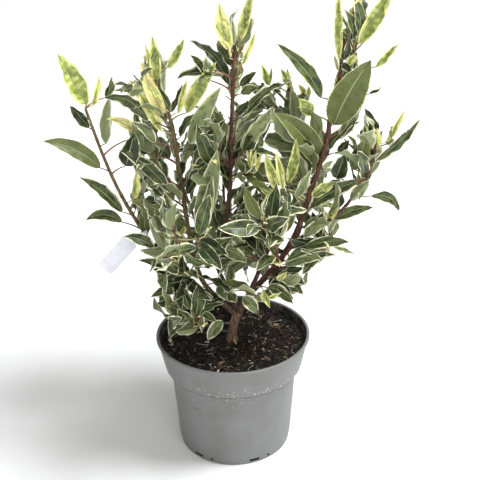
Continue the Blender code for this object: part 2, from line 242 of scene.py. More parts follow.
FLOOR_REACH = 40.0
GLOW_SPAN = {"From Min": 0.40, "From Max": 1.2, "To Max": 0.55}
floor_finish = new_finish("white_sweep", (0.93, 0.93, 0.93), 0.9, 0.1)
relief(floor_finish, grain(floor_finish, 3.0).outputs["Fac"], 0.02, 0.001)
from_pot = node(
    floor_finish,
    "ShaderNodeVectorMath",
    {0: node(floor_finish, "ShaderNodeTexCoord").outputs["Object"]},
    operation="LENGTH",
)
glow = node(floor_finish, "ShaderNodeMapRange", {"Value": from_pot.outputs["Value"], **GLOW_SPAN})
floor_finish.node_tree.nodes["Principled BSDF"].inputs["Emission Color"].default_value = (1, 1, 1, 1)
drive(floor_finish, "Emission Strength", glow.outputs["Result"])
floor_corners = FLOOR_REACH * np.array([(-1, -1, 0), (1, -1, 0), (1, 1, 0), (-1, 1, 0)], float)
floor = mesh_piece("floor", [(floor_corners, [(np.array([[0, 1, 2, 3]]), 0)])], [floor_finish])

# Pot: one injection moulding in matt mid-grey plastic, with a foot ring, a deep stepped band and a
# rolled lip. Drain slots are cut through just above the base, and handling has left it dusty under
# the band and scuffed on the front.
POT_HEIGHT = 0.150
POT_WALL = 0.0016
POT_FLOOR = 0.0020
BASE_RADIUS = 0.0709
BODY_TOP_RADIUS = 0.0785
BAND_LOW_RADIUS = 0.0856
BAND_TOP_RADIUS = 0.0932
LIP_RADIUS = 0.0950
BAND_BOTTOM = 0.1075
FOOT_RADIUS = 0.0700
FOOT_EDGE_RADIUS = 0.0706
FOOT_HEIGHT = 0.0078
STEP_RADIUS = 0.0716
STEP_HEIGHT = 0.0090
LIP_DEPTH = 0.0030
EDGE_SLOPE = 0.0006
POT_SIDES = 160


def rounded(corners, steps=5):
    """A profile through corners of (radius, height, how far along each side the rounding starts)."""
    spots = [np.array(corner[:2]) for corner in corners]
    profile = []
    for index, (spot, corner) in enumerate(zip(spots, corners)):
        if not corner[2]:
            profile.append(spot)
            continue
        start = spot + corner[2] * unit(spots[index - 1] - spot)
        end = spot + corner[2] * unit(spots[index + 1] - spot)
        for step in range(steps + 1):
            t = step / steps
            profile.append((1 - t) ** 2 * start + 2 * t * (1 - t) * spot + t**2 * end)
    return profile


def turned(profile, sides):
    """A turned solid's points and faces, from a profile that starts and ends on the axis."""
    angles = math.tau * np.arange(sides) / sides
    radii = np.array([spot[0] for spot in profile[1:-1]])
    heights = np.array([spot[1] for spot in profile[1:-1]])
    rings = np.empty((len(radii), sides, 3))
    rings[:, :, 0] = radii[:, None] * np.cos(angles)
    rings[:, :, 1] = radii[:, None] * np.sin(angles)
    rings[:, :, 2] = heights[:, None]
    ends = np.array([(0.0, 0.0, profile[0][1]), (0.0, 0.0, profile[-1][1])])
    points = np.concatenate((rings.reshape(-1, 3), ends))
    index = np.arange(len(radii) * sides).reshape(len(radii), sides)
    beside = np.roll(index, -1, axis=1)
    walls = np.stack((index[:-1], beside[:-1], beside[1:], index[1:]), -1).reshape(-1, 4)
    first = np.stack((np.full(sides, len(points) - 2), beside[0], index[0]), -1)
    last = np.stack((np.full(sides, len(points) - 1), index[-1], beside[-1]), -1)
    return points, [(walls, 0), (first, 0), (last, 0)]


pot_profile = rounded(
    [
        (0.0, 0.0, 0),
        (FOOT_RADIUS, 0.0, 0.0009),
        (FOOT_EDGE_RADIUS, FOOT_HEIGHT, 0.0004),
        (STEP_RADIUS, STEP_HEIGHT, 0.0008),
        (BODY_TOP_RADIUS, BAND_BOTTOM - EDGE_SLOPE, 0.0030),
        (BAND_LOW_RADIUS - EDGE_SLOPE, BAND_BOTTOM, 0.0036),
        (BAND_TOP_RADIUS, POT_HEIGHT - LIP_DEPTH - 0.0004, 0.0007),
        (LIP_RADIUS, POT_HEIGHT - LIP_DEPTH, 0.0009),
        (LIP_RADIUS, POT_HEIGHT, 0.0012),
        (BAND_TOP_RADIUS - POT_WALL, POT_HEIGHT, 0.0009),
        (BAND_LOW_RADIUS - POT_WALL, BAND_BOTTOM + POT_WALL, 0.0020),
        (BODY_TOP_RADIUS - POT_WALL, BAND_BOTTOM + POT_WALL, 0.0020),
        (BASE_RADIUS - POT_WALL, POT_FLOOR, 0.0010),
        (0.0, POT_FLOOR, 0),
    ]
)
pot_finish = new_finish("grey_plastic", (0.27, 0.275, 0.27), 0.48, 0.42)
mottle = grain(pot_finish, 26.0, detail=5.0, roughness=0.6)
streaks = grain(pot_finish, 9.0, stretch=(1.0, 1.0, 0.2), detail=4.0)
clouds = node(
    pot_finish,
    "ShaderNodeMix",
    {"Factor": 0.5, "A": mottle.outputs["Fac"], "B": streaks.outputs["Fac"]},
)
shell = ramp(
    pot_finish,
    clouds.outputs["Result"],
    [(0.35, (0.142, 0.144, 0.137)), (0.52, (0.174, 0.177, 0.173)), (0.68, (0.208, 0.212, 0.212))],
)
place = node(pot_finish, "ShaderNodeTexCoord")
height = node(pot_finish, "ShaderNodeSeparateXYZ", {"Vector": place.outputs["Object"]})
under_band = ramp(
    pot_finish,
    height.outputs["Z"],
    [(0.085, (0, 0, 0)), (0.1085, (0.85, 0.85, 0.85)), (0.114, (1, 1, 1)), (0.128, (0, 0, 0))],
)
speckle = grain(pot_finish, 330.0, detail=2.0)
specks = ramp(pot_finish, speckle.outputs["Fac"], [(0.60, (0, 0, 0)), (0.70, (1, 1, 1))])
dust = node(
    pot_finish,
    "ShaderNodeMath",
    {0: under_band.outputs["Color"], 1: specks.outputs["Color"]},
    operation="MULTIPLY",
)
dusty = node(
    pot_finish,
    "ShaderNodeMix",
    {"Factor": dust.outputs[0], "A": shell.outputs["Color"], "B": (0.46, 0.46, 0.45, 1.0)},
    data_type="RGBA",
)
SCUFF_PX = (196, 411)
SCUFF_DEPTH = -0.066
SCUFF_SCALE = np.array((90, 60, 330))
scuff_shift = tuple(-seen_at(SCUFF_PX, SCUFF_DEPTH) * SCUFF_SCALE)
scuff_way = node(
    pot_finish,
    "ShaderNodeMapping",
    {"Vector": place.outputs["Object"], "Location": scuff_shift, "Scale": tuple(SCUFF_SCALE)},
)
scuff_near = node(pot_finish, "ShaderNodeVectorMath", {0: scuff_way.outputs["Vector"]}, operation="LENGTH")
scuff_ragged = node(
    pot_finish,
    "ShaderNodeMath",
    {0: scuff_near.outputs["Value"], 1: grain(pot_finish, 500.0).outputs["Fac"]},
    operation="ADD",
)
scuff = ramp(pot_finish, scuff_ragged.outputs[0], [(0.78, (1, 1, 1)), (1.0, (0, 0, 0))])
scuffed = node(
    pot_finish,
    "ShaderNodeMix",
    {"Factor": scuff.outputs["Color"], "A": dusty.outputs["Result"], "B": (0.10, 0.095, 0.09, 1.0)},
    data_type="RGBA",
)
drive(pot_finish, "Base Color", scuffed.outputs["Result"])
polish = ramp(pot_finish, mottle.outputs["Fac"], [(0.3, (0.42,) * 3), (0.7, (0.58,) * 3)])
drive(pot_finish, "Roughness", polish.outputs["Color"])
relief(pot_finish, grain(pot_finish, 420.0, detail=2.0).outputs["Fac"], 0.18, 0.0004)

SLOT_PAIRS = 6
SLOTS = ((math.radians(20), 0.0130), (math.radians(36), 0.0030))
SLOT_LOW = 0.0030
SLOT_HIGH = 0.0065
SLOT_CUT_DEPTH = 0.010


def box_part(place, size):
    """A box's points and faces, from its place in the world and its three sizes."""
    signs = np.array([(x, y, z) for x in (-0.5, 0.5) for y in (-0.5, 0.5) for z in (-0.5, 0.5)])
    points = np.array([place @ Vector(sign * size) for sign in signs])
    faces = [(0, 1, 3, 2), (4, 6, 7, 5), (0, 4, 5, 1), (2, 3, 7, 6), (0, 2, 6, 4), (1, 5, 7, 3)]
    return points, [(np.array(faces), 0)]


slot_boxes = []
for pair in range(SLOT_PAIRS):
    for angle, width in SLOTS:
        place = Matrix.Rotation(angle + math.tau * pair / SLOT_PAIRS, 4, "Z")
        place = place @ Matrix.Translation((0, -BASE_RADIUS, (SLOT_LOW + SLOT_HIGH) / 2))
        slot_boxes.append(box_part(place, (width, SLOT_CUT_DEPTH, SLOT_HIGH - SLOT_LOW)))
cutter = mesh_piece("slot_boxes", slot_boxes, [])
pot_points, pot_faces = turned(pot_profile, POT_SIDES)
walls = pot_faces[0][0]
middles = pot_points[walls].mean(1)
band_share = (middles[:, 2] - BAND_BOTTOM) / (POT_HEIGHT - BAND_BOTTOM)
band_outside = BAND_LOW_RADIUS + band_share * (BAND_TOP_RADIUS - BAND_LOW_RADIUS)
# The inside wall above the band, between lip and compost, is painted dark: part soil stain, part painted
# shade of the pot's hollow.
stain_and_shade_wall = np.hypot(middles[:, 0], middles[:, 1]) < band_outside - POT_WALL / 2
stain_and_shade_wall &= (middles[:, 2] > BAND_BOTTOM + POT_WALL) & (middles[:, 2] < POT_HEIGHT - 0.002)
pot_faces[0] = (walls, np.where(stain_and_shade_wall, 1, 0))
# Near-black to grey tones for that inside wall: soil stain and painted shade together.
stain_and_shade_finish = new_finish("soil_stain_and_painted_shade_plastic", (0.050, 0.043, 0.036), 0.75, 0.3)
stain_and_shade_grain = grain(stain_and_shade_finish, 90.0, detail=5.0)
stain_and_shade_tones = ramp(
    stain_and_shade_finish,
    stain_and_shade_grain.outputs["Fac"],
    [(0.4, (0.016, 0.012, 0.009)), (0.6, (0.060, 0.055, 0.048)), (0.75, (0.13, 0.13, 0.125))],
)
drive(stain_and_shade_finish, "Base Color", stain_and_shade_tones.outputs["Color"])
relief(stain_and_shade_finish, stain_and_shade_grain.outputs["Fac"], 0.4, 0.0006)
pot = mesh_piece("grey_pot", [(pot_points, pot_faces)], [pot_finish, stain_and_shade_finish])
cut = pot.modifiers.new("slots", "BOOLEAN")
cut.operation = "DIFFERENCE"
cut.object = cutter
cut_mesh = bpy.data.meshes.new_from_object(pot.evaluated_get(bpy.context.evaluated_depsgraph_get()))
pot.modifiers.clear()
pot.data = cut_mesh
pot.data.set_sharp_from_angle(angle=CRISP_ANGLE)
bpy.data.objects.remove(cutter)
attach(pot, "root")
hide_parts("pot")

# Compost: a root ball of dark bark and peat that fills the pot to a finger's width under its lip,
# strewn with loose chips of bark, fine fibres and a few pale crumbs.
SOIL_TOP = 0.1385
SOIL_GAP = 0.0006
FLOOR_GAP = 0.0003
SOIL_RINGS = 46
SOIL_SIDES = 150
CHIPS = 2700
FIBRES = 620
CHIP_TILT = 0.45
CHIP_ROUGHNESS = 0.16
FIBRE_SLOTS = (2, 3, 4, 5)
FIBRE_SHARES = (0.30, 0.38, 0.22, 0.10)
COMPOST = {
    "peat": (0.0036, 0.0027, 0.0020),
    "dark_bark": (0.0080, 0.0055, 0.0038),
    "red_bark": (0.022, 0.011, 0.007),
    "brown_bark": (0.060, 0.036, 0.022),
    "tan_chip": (0.26, 0.18, 0.11),
    "pale_crumb": (0.62, 0.55, 0.43),
}
COMPOST_SHARES = (0.34, 0.35, 0.15, 0.09, 0.045, 0.025)
compost_seed = np.random.default_rng(5)

inner_low = BAND_BOTTOM + POT_WALL
rim_share = (SOIL_TOP - inner_low) / (POT_HEIGHT - inner_low)
SOIL_RIM = BAND_LOW_RADIUS + rim_share * (BAND_TOP_RADIUS - BAND_LOW_RADIUS) - POT_WALL - SOIL_GAP


def soil_height(x, y):
    """How high the compost lies at a place: broad hollows, then lumps, then crumbs."""
    spot = Vector((x, y, 0.0))
    rough = 0.0016 * noise.noise(28 * spot) + 0.0012 * noise.noise(95 * spot)
    return SOIL_TOP + rough + 0.0008 * noise.noise(260 * spot)


soil_profile = [(0.0, POT_FLOOR + FLOOR_GAP)]
for spot in (
    (BASE_RADIUS - POT_WALL - SOIL_GAP, POT_FLOOR + FLOOR_GAP),
    (BODY_TOP_RADIUS - POT_WALL - SOIL_GAP, inner_low - 0.001),
    (BODY_TOP_RADIUS - POT_WALL - SOIL_GAP, inner_low + 0.001),
    (BAND_LOW_RADIUS - POT_WALL - SOIL_GAP - 0.001, inner_low + 0.002),
):
    soil_profile.append(spot)
for ring in range(SOIL_RINGS):
    soil_profile.append((SOIL_RIM * (1 - ring / SOIL_RINGS), SOIL_TOP))
soil_profile.append((0.0, SOIL_TOP))
soil_points, soil_faces = turned(soil_profile, SOIL_SIDES)
for point in soil_points:
    if point[2] > SOIL_TOP - 0.001:
        point[2] = soil_height(point[0], point[1])
compost_heap = [(soil_points, soil_faces)]

for _ in range(CHIPS):
    radius = SOIL_RIM * math.sqrt(compost_seed.uniform(0.01, 0.94))
    bearing = compost_seed.uniform(0, math.tau)
    x = radius * math.cos(bearing)
    y = radius * math.sin(bearing)
    length = compost_seed.gamma(3.0, 0.0009) + 0.0010
    breadth = length * compost_seed.uniform(0.2, 0.6)
    size = np.array((length, breadth, length * compost_seed.uniform(0.10, 0.3)))
    tilt = Matrix.Rotation(compost_seed.uniform(0, math.tau), 4, "Z")
    tilt = tilt @ Matrix.Rotation(compost_seed.normal(0, CHIP_TILT), 4, "Y")
    tilt = tilt @ Matrix.Rotation(compost_seed.normal(0, CHIP_TILT), 4, "X")
    place = Matrix.Translation((x, y, soil_height(x, y) + 0.2 * size[2])) @ tilt
    points, ((faces, _),) = box_part(place, size)
    points += compost_seed.normal(0, CHIP_ROUGHNESS, (8, 3)) * size.min()
    slot = compost_seed.choice(len(COMPOST), p=COMPOST_SHARES)
    compost_heap.append((points, [(faces, slot)]))


LUMP_REACH = 0.004


def tube(route, radii, sides, slot=0, lumps=0.0, lump_scale=400.0):
    """A round limb along a route, as rings of points joined by quads and closed at both ends."""
    count = len(route)
    angles = math.tau * np.arange(sides) / sides
    cosine = np.cos(angles)[None, :, None]
    sine = np.sin(angles)[None, :, None]
    along = unit(np.gradient(route, axis=0))
    across = np.empty((count, 3))
    last = unit(np.cross(along[0], (0.31, 0.87, 0.38)))
    for index in range(count):
        last = unit(last - (last @ along[index]) * along[index])
        across[index] = last
    beside = np.cross(along, across)
    out = across[:, None] * cosine + beside[:, None] * sine
    radii = np.broadcast_to(np.asarray(radii, float), count)[:, None] * np.ones(sides)
    if lumps:
        skin_spots = (route[:, None] + out * LUMP_REACH).reshape(-1, 3)
        rough = [noise.noise(Vector(spot) * lump_scale) for spot in skin_spots]
        radii = radii * (1 + lumps * np.array(rough).reshape(count, sides))
    points = (route[:, None] + radii[..., None] * out).reshape(-1, 3)
    index = np.arange(count * sides).reshape(count, sides)
    after = np.roll(index, -1, axis=1)
    walls = np.stack((index[:-1], after[:-1], after[1:], index[1:]), -1).reshape(-1, 4)
    ends = np.stack((index[0][::-1], index[-1]))
    return points, [(walls, slot), (ends, slot)]


for _ in range(FIBRES):
    radius = SOIL_RIM * math.sqrt(compost_seed.uniform(0.01, 0.88))
    bearing = compost_seed.uniform(0, math.tau)
    x = radius * math.cos(bearing)
    y = radius * math.sin(bearing)
    heading = compost_seed.uniform(0, math.tau)
    length = compost_seed.uniform(0.004, 0.013)
    bend = compost_seed.normal(0, 0.25) * length
    t = np.linspace(-0.5, 0.5, 6)
    run = t * length
    side = bend * (1 - 4 * t**2)
    xs = x + run * math.cos(heading) - side * math.sin(heading)
    ys = y + run * math.sin(heading) + side * math.cos(heading)
    lift = compost_seed.uniform(0.0004, 0.0016)
    zs = [soil_height(px, py) + lift for px, py in zip(xs, ys)]
    inside = np.hypot(xs, ys).max() < SOIL_RIM - 0.001
    if inside:
        slot = compost_seed.choice(FIBRE_SLOTS, p=FIBRE_SHARES)
        thick = compost_seed.uniform(0.00014, 0.00034)
        compost_heap.append(tube(np.stack((xs, ys, zs), -1), thick, 4, slot))

compost_finishes = []
for name, color in COMPOST.items():
    crumb = new_finish(name, color, 0.6, 0.3)
    relief(crumb, grain(crumb, 1400.0).outputs["Fac"], 0.6, 0.0006)
    compost_finishes.append(crumb)
compost = mesh_piece("bark_compost", compost_heap, compost_finishes, crisp=math.radians(30))
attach(compost, "root")
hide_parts("soil")

# Trunk: one short stem as thick as a pencil, flared where it leaves the compost and ending in a
# crowded fork. Its bark is tan and finely cracked lengthwise.
TRUNK_ROUTE = ((-0.001, 0, SOIL_TOP - 0.001), (0, 0, 0.152), (0.003, 0, 0.166), (0.007, 0, 0.177))
TRUNK_FOOT = 0.0078
TRUNK_LOW = 0.0048
TRUNK_TOP = 0.0052
TRUNK_FLARE_POWER = 5
CURVE_STEPS = 14


def curve_through(points, steps):
    """A smooth curve through a few points, with this many steps to each stretch."""
    points = np.asarray(points, float)
    ends = np.concatenate(([2 * points[0] - points[1]], points, [2 * points[-1] - points[-2]]))
    t = (np.arange(steps) / steps)[:, None]
    route = []
    for before, start, end, after in zip(ends, ends[1:], ends[2:], ends[3:]):
        rise = (end - before) * t
        bend = (2 * before - 5 * start + 4 * end - after) * t**2
        swing = (3 * start - before - 3 * end + after) * t**3
        route.append(0.5 * (2 * start + rise + bend + swing))
    return np.concatenate((*route, points[-1:]))


def bark_finish(name, dark, mid, light, streak=(1.0, 1.0, 0.22)):
    """Bark in three tones, streaked lengthwise, with raised cracks."""
    made = new_finish(name, mid, 0.7, 0.35)
    streaks = grain(made, 420.0, stretch=streak, detail=5.0, roughness=0.65)
    tones = ramp(made, streaks.outputs["Fac"], [(0.32, dark), (0.5, mid), (0.72, light)])
    drive(made, "Base Color", tones.outputs["Color"])
    relief(made, streaks.outputs["Fac"], 0.7, 0.0008)
    return made


trunk_route = curve_through(TRUNK_ROUTE, CURVE_STEPS)
share = np.linspace(0, 1, len(trunk_route))
trunk_radii = TRUNK_LOW + share * (TRUNK_TOP - TRUNK_LOW)
trunk_radii += (TRUNK_FOOT - TRUNK_LOW) * (1 - share) ** TRUNK_FLARE_POWER
trunk_finish = bark_finish("tan_bark", (0.080, 0.045, 0.030), (0.190, 0.120, 0.078), (0.36, 0.26, 0.18))
trunk = mesh_piece("trunk_bark", [tube(trunk_route, trunk_radii, 30, lumps=0.16)], [trunk_finish])
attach(trunk, "root")
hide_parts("trunk")

# Boughs: whippy young wood, brown at the fork and wine red or green above, with a swelling at each
# old leaf scar. They leave the trunk in a crowded fork and each ends inside its foliage.
BOUGHS = {
    "bough_right": (
        (0.007, 0.000, 0.176), (0.022, -0.004, 0.204), (0.054, -0.026, 0.255), (0.075, -0.033, 0.297),
        (0.091, -0.025, 0.343), (0.108, -0.014, 0.395), (0.113, -0.008, 0.428), (0.121, -0.005, 0.462),
    ),
    "bough_left_middle": (
        (0.006, 0.000, 0.172), (-0.013, 0.001, 0.191), (-0.036, 0.000, 0.223), (-0.047, 0.000, 0.272),
        (-0.055, 0.004, 0.345), (-0.062, 0.008, 0.408), (-0.070, 0.010, 0.436),
    ),
    "bough_centre": (
        (0.006, 0.004, 0.175), (-0.001, 0.008, 0.200), (-0.007, 0.002, 0.245), (-0.006, -0.001, 0.284),
        (0.001, 0.000, 0.343), (0.003, 0.002, 0.396), (0.006, 0.004, 0.446),
    ),
    "bough_left": (
        (-0.016, 0.001, 0.194), (-0.042, -0.007, 0.217), (-0.073, -0.006, 0.247), (-0.099, -0.002, 0.283),
        (-0.124, 0.000, 0.332), (-0.140, 0.000, 0.377), (-0.153, 0.000, 0.424),
    ),
    "bough_back_right": (
        (0.010, 0.002, 0.176), (0.030, 0.022, 0.212), (0.056, 0.040, 0.270), (0.078, 0.048, 0.335),
        (0.080, 0.052, 0.392), (0.074, 0.059, 0.412),
    ),
    "bough_back_left": (
        (-0.001, 0.009, 0.196), (-0.022, 0.040, 0.228), (-0.048, 0.068, 0.282), (-0.066, 0.084, 0.336),
    ),
    "bough_right_outer": (
        (0.056, -0.027, 0.259), (0.083, -0.032, 0.292), (0.118, -0.031, 0.314), (0.141, -0.026, 0.340),
    ),
    "bough_back_centre": (
        (-0.003, 0.010, 0.212), (-0.008, 0.034, 0.262), (-0.008, 0.058, 0.312), (-0.008, 0.074, 0.346),
    ),
    "bough_back_low": ((0.056, 0.041, 0.270), (0.070, 0.058, 0.284), (0.080, 0.074, 0.300)),
    "bough_front_left": ((-0.006, -0.001, 0.250), (-0.018, -0.030, 0.270), (-0.037, -0.070, 0.308)),
    "bough_front_right": ((0.052, -0.026, 0.253), (0.053, -0.046, 0.268), (0.051, -0.066, 0.292)),
    "bough_low_left": ((-0.002, -0.003, 0.150), (-0.022, -0.020, 0.166), (-0.038, -0.034, 0.182)),
}
BOUGH_RADII = {
    "bough_right": (0.0039, 0.0016),
    "bough_left_middle": (0.0034, 0.0015),
    "bough_centre": (0.0032, 0.0015),
    "bough_left": (0.0028, 0.0014),
    "bough_back_right": (0.0030, 0.0014),
    "bough_back_left": (0.0026, 0.0015),
    "bough_low_left": (0.0016, 0.0012),
}
SIDE_BOUGH_RADII = (0.0021, 0.0015)
# Leaders: the boughs' own tips, above where the solids stop, and their last radius
LEADERS = {
    "bough_right": ((0.1225, -0.004, 0.475), (0.124, -0.002, 0.488), (0.127, -0.001, 0.499)),
    "bough_left_middle": ((-0.0745, 0.010, 0.450), (-0.078, 0.010, 0.463)),
    "bough_centre": ((0.0075, 0.003, 0.475), (0.009, 0.001, 0.500), (0.010, 0.000, 0.514)),
    "bough_left": ((-0.156, 0.000, 0.436),),
    "bough_back_right": ((0.072, 0.060, 0.437), (0.065, 0.060, 0.455)),
    "bough_right_outer": ((0.155, -0.029, 0.368), (0.160, -0.030, 0.400)),
}
LEADER_TIP = 0.0009
SCAR_SPACING = 0.013
SCAR_SWELL = 0.22
SCAR_LENGTH = 0.0012
SCAR_SHIFT = 0.002
LEADER_LOSS = 0.02
LEADER_BASE = 0.003

bark_seed = np.random.default_rng(11)
bough_finishes = [
    bark_finish("brown_bark_young", (0.045, 0.026, 0.017), (0.105, 0.062, 0.040), (0.23, 0.16, 0.10)),
    bark_finish("wine_bark", (0.036, 0.014, 0.010), (0.092, 0.036, 0.024), (0.21, 0.12, 0.08)),
    bark_finish("green_bark", (0.052, 0.040, 0.020), (0.135, 0.105, 0.045), (0.34, 0.20, 0.09)),
]
GREEN_BOUGHS = ("bough_left_middle", "bough_left", "bough_back_left", "bough_low_left")
BROWN_BELOW = 0.215


def scarred(radii, route, seed):
    """Adds a short swelling at every old leaf scar along a stem."""
    run = np.concatenate(([0.0], np.cumsum(np.linalg.norm(np.diff(route, axis=0), axis=1))))
    scars = np.arange(SCAR_SPACING, run[-1], SCAR_SPACING)
    for scar in scars + seed.normal(0, SCAR_SHIFT, len(scars)):
        radii = radii * (1 + SCAR_SWELL * np.exp(-(((run - scar) / SCAR_LENGTH) ** 2)))
    return radii


Stem = namedtuple("Stem", "name route radii")
stems = []
bough_heap = []
for name, points in BOUGHS.items():
    route = curve_through(points + LEADERS.get(name, ()), CURVE_STEPS)
    low, high = BOUGH_RADII.get(name, SIDE_BOUGH_RADII)
    share = np.linspace(0, 1, len(route))
    radii = low + (high - low) * share
    if name in LEADERS:
        radii = np.minimum(radii, LEADER_TIP + (1 - share) * LEADER_LOSS * low / LEADER_BASE)
    stems.append(Stem(name, route, radii))
    shape, ((walls, _), ends) = tube(route, scarred(radii, route, bark_seed), 14, lumps=0.10)
    young = 2 if name in GREEN_BOUGHS else 1
    heights = shape[walls[:, 0], 2] + bark_seed.normal(0, 0.006, len(walls))
    bough_heap.append((shape, [(walls, np.where(heights < BROWN_BELOW, 0, young)), ends]))
boughs = mesh_piece("bough_bark", bough_heap, bough_finishes)
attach(boughs, "root")
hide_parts(*BOUGHS)

# Leaves: leathery blades with a deep green heart, a grey-green band and a cream margin, each a
# closed skin of its own outline. Those at the shoot tips are new, folded, butter yellow and lime.
# The stalks are wine, red, green or straw.
# Leaves of the 'shade' look, deep in the crown, take a darker copy of these colours: painted shade.
LEAF_COLOURS = {
    # Darkest green: the leaves' own deep green in the marbling, and painted shade as the heart of the 'shade'
    # look.
    "deep_green_and_shade": (0.020, 0.034, 0.010),
    "green": (0.058, 0.086, 0.022),
    "moss": (0.098, 0.122, 0.034),
    "deep_lime": (0.185, 0.235, 0.055),
    "olive": (0.128, 0.150, 0.038),
    "sage": (0.165, 0.205, 0.092),
    "pale_sage": (0.300, 0.355, 0.170),
    "lime": (0.300, 0.360, 0.078),
    "pale_lime": (0.500, 0.540, 0.190),
    "butter": (0.820, 0.800, 0.300),
    "cream": (0.800, 0.780, 0.540),
    "blush": (0.720, 0.470, 0.260),
    "back": (0.205, 0.240, 0.110),
    "back_cream": (0.560, 0.560, 0.390),
    "midrib": (0.330, 0.370, 0.180),
    "scorched": (0.130, 0.070, 0.035),
    "dry": (0.420, 0.330, 0.190),
}
SLOT = {name: index for index, name in enumerate(LEAF_COLOURS)}
leaf_finishes = []
for name, color in LEAF_COLOURS.items():
    skin = new_finish("leaf_" + name, color, 0.42, 0.45)
    relief(skin, grain(skin, 1100.0, detail=2.0).outputs["Fac"], 0.25, 0.0004)
    leaf_finishes.append(skin)

Look = namedtuple("Look", "heart band edge margin spill fold wave pucker twist banding")
LOOKS = {
    "olive": Look(
        ("olive", "moss", "olive"), "sage", ("pale_lime", "cream"),
        0.35, 0.05, 16, 1.0, 0.7, 16, 0.2
    ),
    "green": Look(
        ("green", "moss", "deep_green_and_shade"), "sage", ("cream", "pale_lime"),
        0.5, 0.20, 18, 1.3, 0.8, 24, 0.3
    ),
    "old": Look(
        ("green", "deep_green_and_shade", "moss"), "sage", ("cream", "cream"),
        0.8, 0.45, 20, 1.5, 0.9, 28, 0.3
    ),
    "grey": Look(
        ("sage", "moss", "sage"), "pale_sage", ("cream", "cream"),
        0.9, 0.40, 18, 1.2, 0.8, 20, 0.2
    ),
    # The 'shade' look is a darker copy of the leaf colours, painted shade for leaves that sit in the crown's
    # shade.
    "shade": Look(
        ("deep_green_and_shade", "deep_green_and_shade", "green"), "green", ("cream", "sage"),
        0.5, 0.20, 26, 2.0, 1.3, 38, 0.2
    ),
    "pale": Look(
        ("pale_sage", "pale_sage", "sage"), "pale_lime", ("cream", "cream"),
        1.0, 0.40, 26, 1.4, 0.9, 18, 0.2
    ),
    "lime": Look(
        ("lime", "deep_lime", "pale_lime"), "pale_lime", ("butter", "pale_lime"),
        1.3, 0.60, 28, 1.5, 1.8, 20, 0.7
    ),
    "butter": Look(
        ("pale_lime", "lime", "butter"), "butter", ("butter", "cream"),
        2.2, 0.90, 40, 1.0, 0.9, 15, 0.3
    ),
    "blush": Look(
        ("pale_lime", "butter", "blush"), "butter", ("butter", "blush"),
        2.2, 0.90, 40, 1.0, 0.9, 15, 0.2
    ),
    "dead": Look(
        ("dry", "scorched", "dry"), "dry", ("dry", "dry"),
        1.0, 0.20, 40, 1.5, 0.8, 30, 0.0
    ),
}
ROW_PITCH = 0.0024
SEEN_PITCH = 0.0018
LEAF_THICK = 0.00030
RIM_THICK = 0.00014
ROUND_BASE = 0.62
POINTED_TIP = 0.85
WIDEST = ROUND_BASE / (ROUND_BASE + POINTED_TIP)
OUTLINE_SCALE = 1 / (WIDEST**ROUND_BASE * (1 - WIDEST) ** POINTED_TIP)
LEAST_HALF = 0.0003
FEWEST_ROWS = 8
MOST_ROWS = 34
RIB_HALF = 0.05
HEART_STEPS = (0.36, 0.68)
HEART_LEAST = 0.24
HEART_MOST = 0.94
MARGIN_WANDER = 0.65
RIB_GROOVE = 0.00018
RIB_KEEL = 0.00045
RIB_ENDS = 0.86
MARBLE_SIZE = 0.004
SECOND_TONE_OVER = 0.55
THIRD_TONE_UNDER = -0.75
WIDE_MARGIN = 0.0022
SCORCHED_SHARE = 0.12
SCORCH_STARTS = (0.86, 0.97)
TOOTH = 0.016
VEIN_SPACING = 0.0078
WAVE_LENGTH = 0.017
leaf_seed = np.random.default_rng(3)


def wander(x, seed):
    """A smooth value that wanders between about -1 and 1 as x goes up."""
    total = np.zeros_like(x)
    for pace in (1.0, 2.3, 4.1):
        total += np.sin(pace * x + seed.uniform(0, math.tau)) / pace
    return total / 1.2


def skin_faces(rows, columns):
    """The quads of a thin closed blade: its top, its back and, all together, its rims."""
    index = np.arange(rows * columns).reshape(rows, columns)
    under = index + index.size
    top = np.stack((index[:-1, :-1], index[:-1, 1:], index[1:, 1:], index[1:, :-1]), -1)
    back = np.stack((under[:-1, :-1], under[1:, :-1], under[1:, 1:], under[:-1, 1:]), -1)
    rims = (
        np.stack((index[1:, 0], under[1:, 0], under[:-1, 0], index[:-1, 0]), -1),
        np.stack((index[:-1, -1], under[:-1, -1], under[1:, -1], index[1:, -1]), -1),
        np.stack((index[0, 1:], index[0, :-1], under[0, :-1], under[0, 1:]), -1),
        np.stack((index[-1, :-1], index[-1, 1:], under[-1, 1:], under[-1, :-1]), -1),
    )
    return top.reshape(-1, 4), back.reshape(-1, 4), np.concatenate(rims)


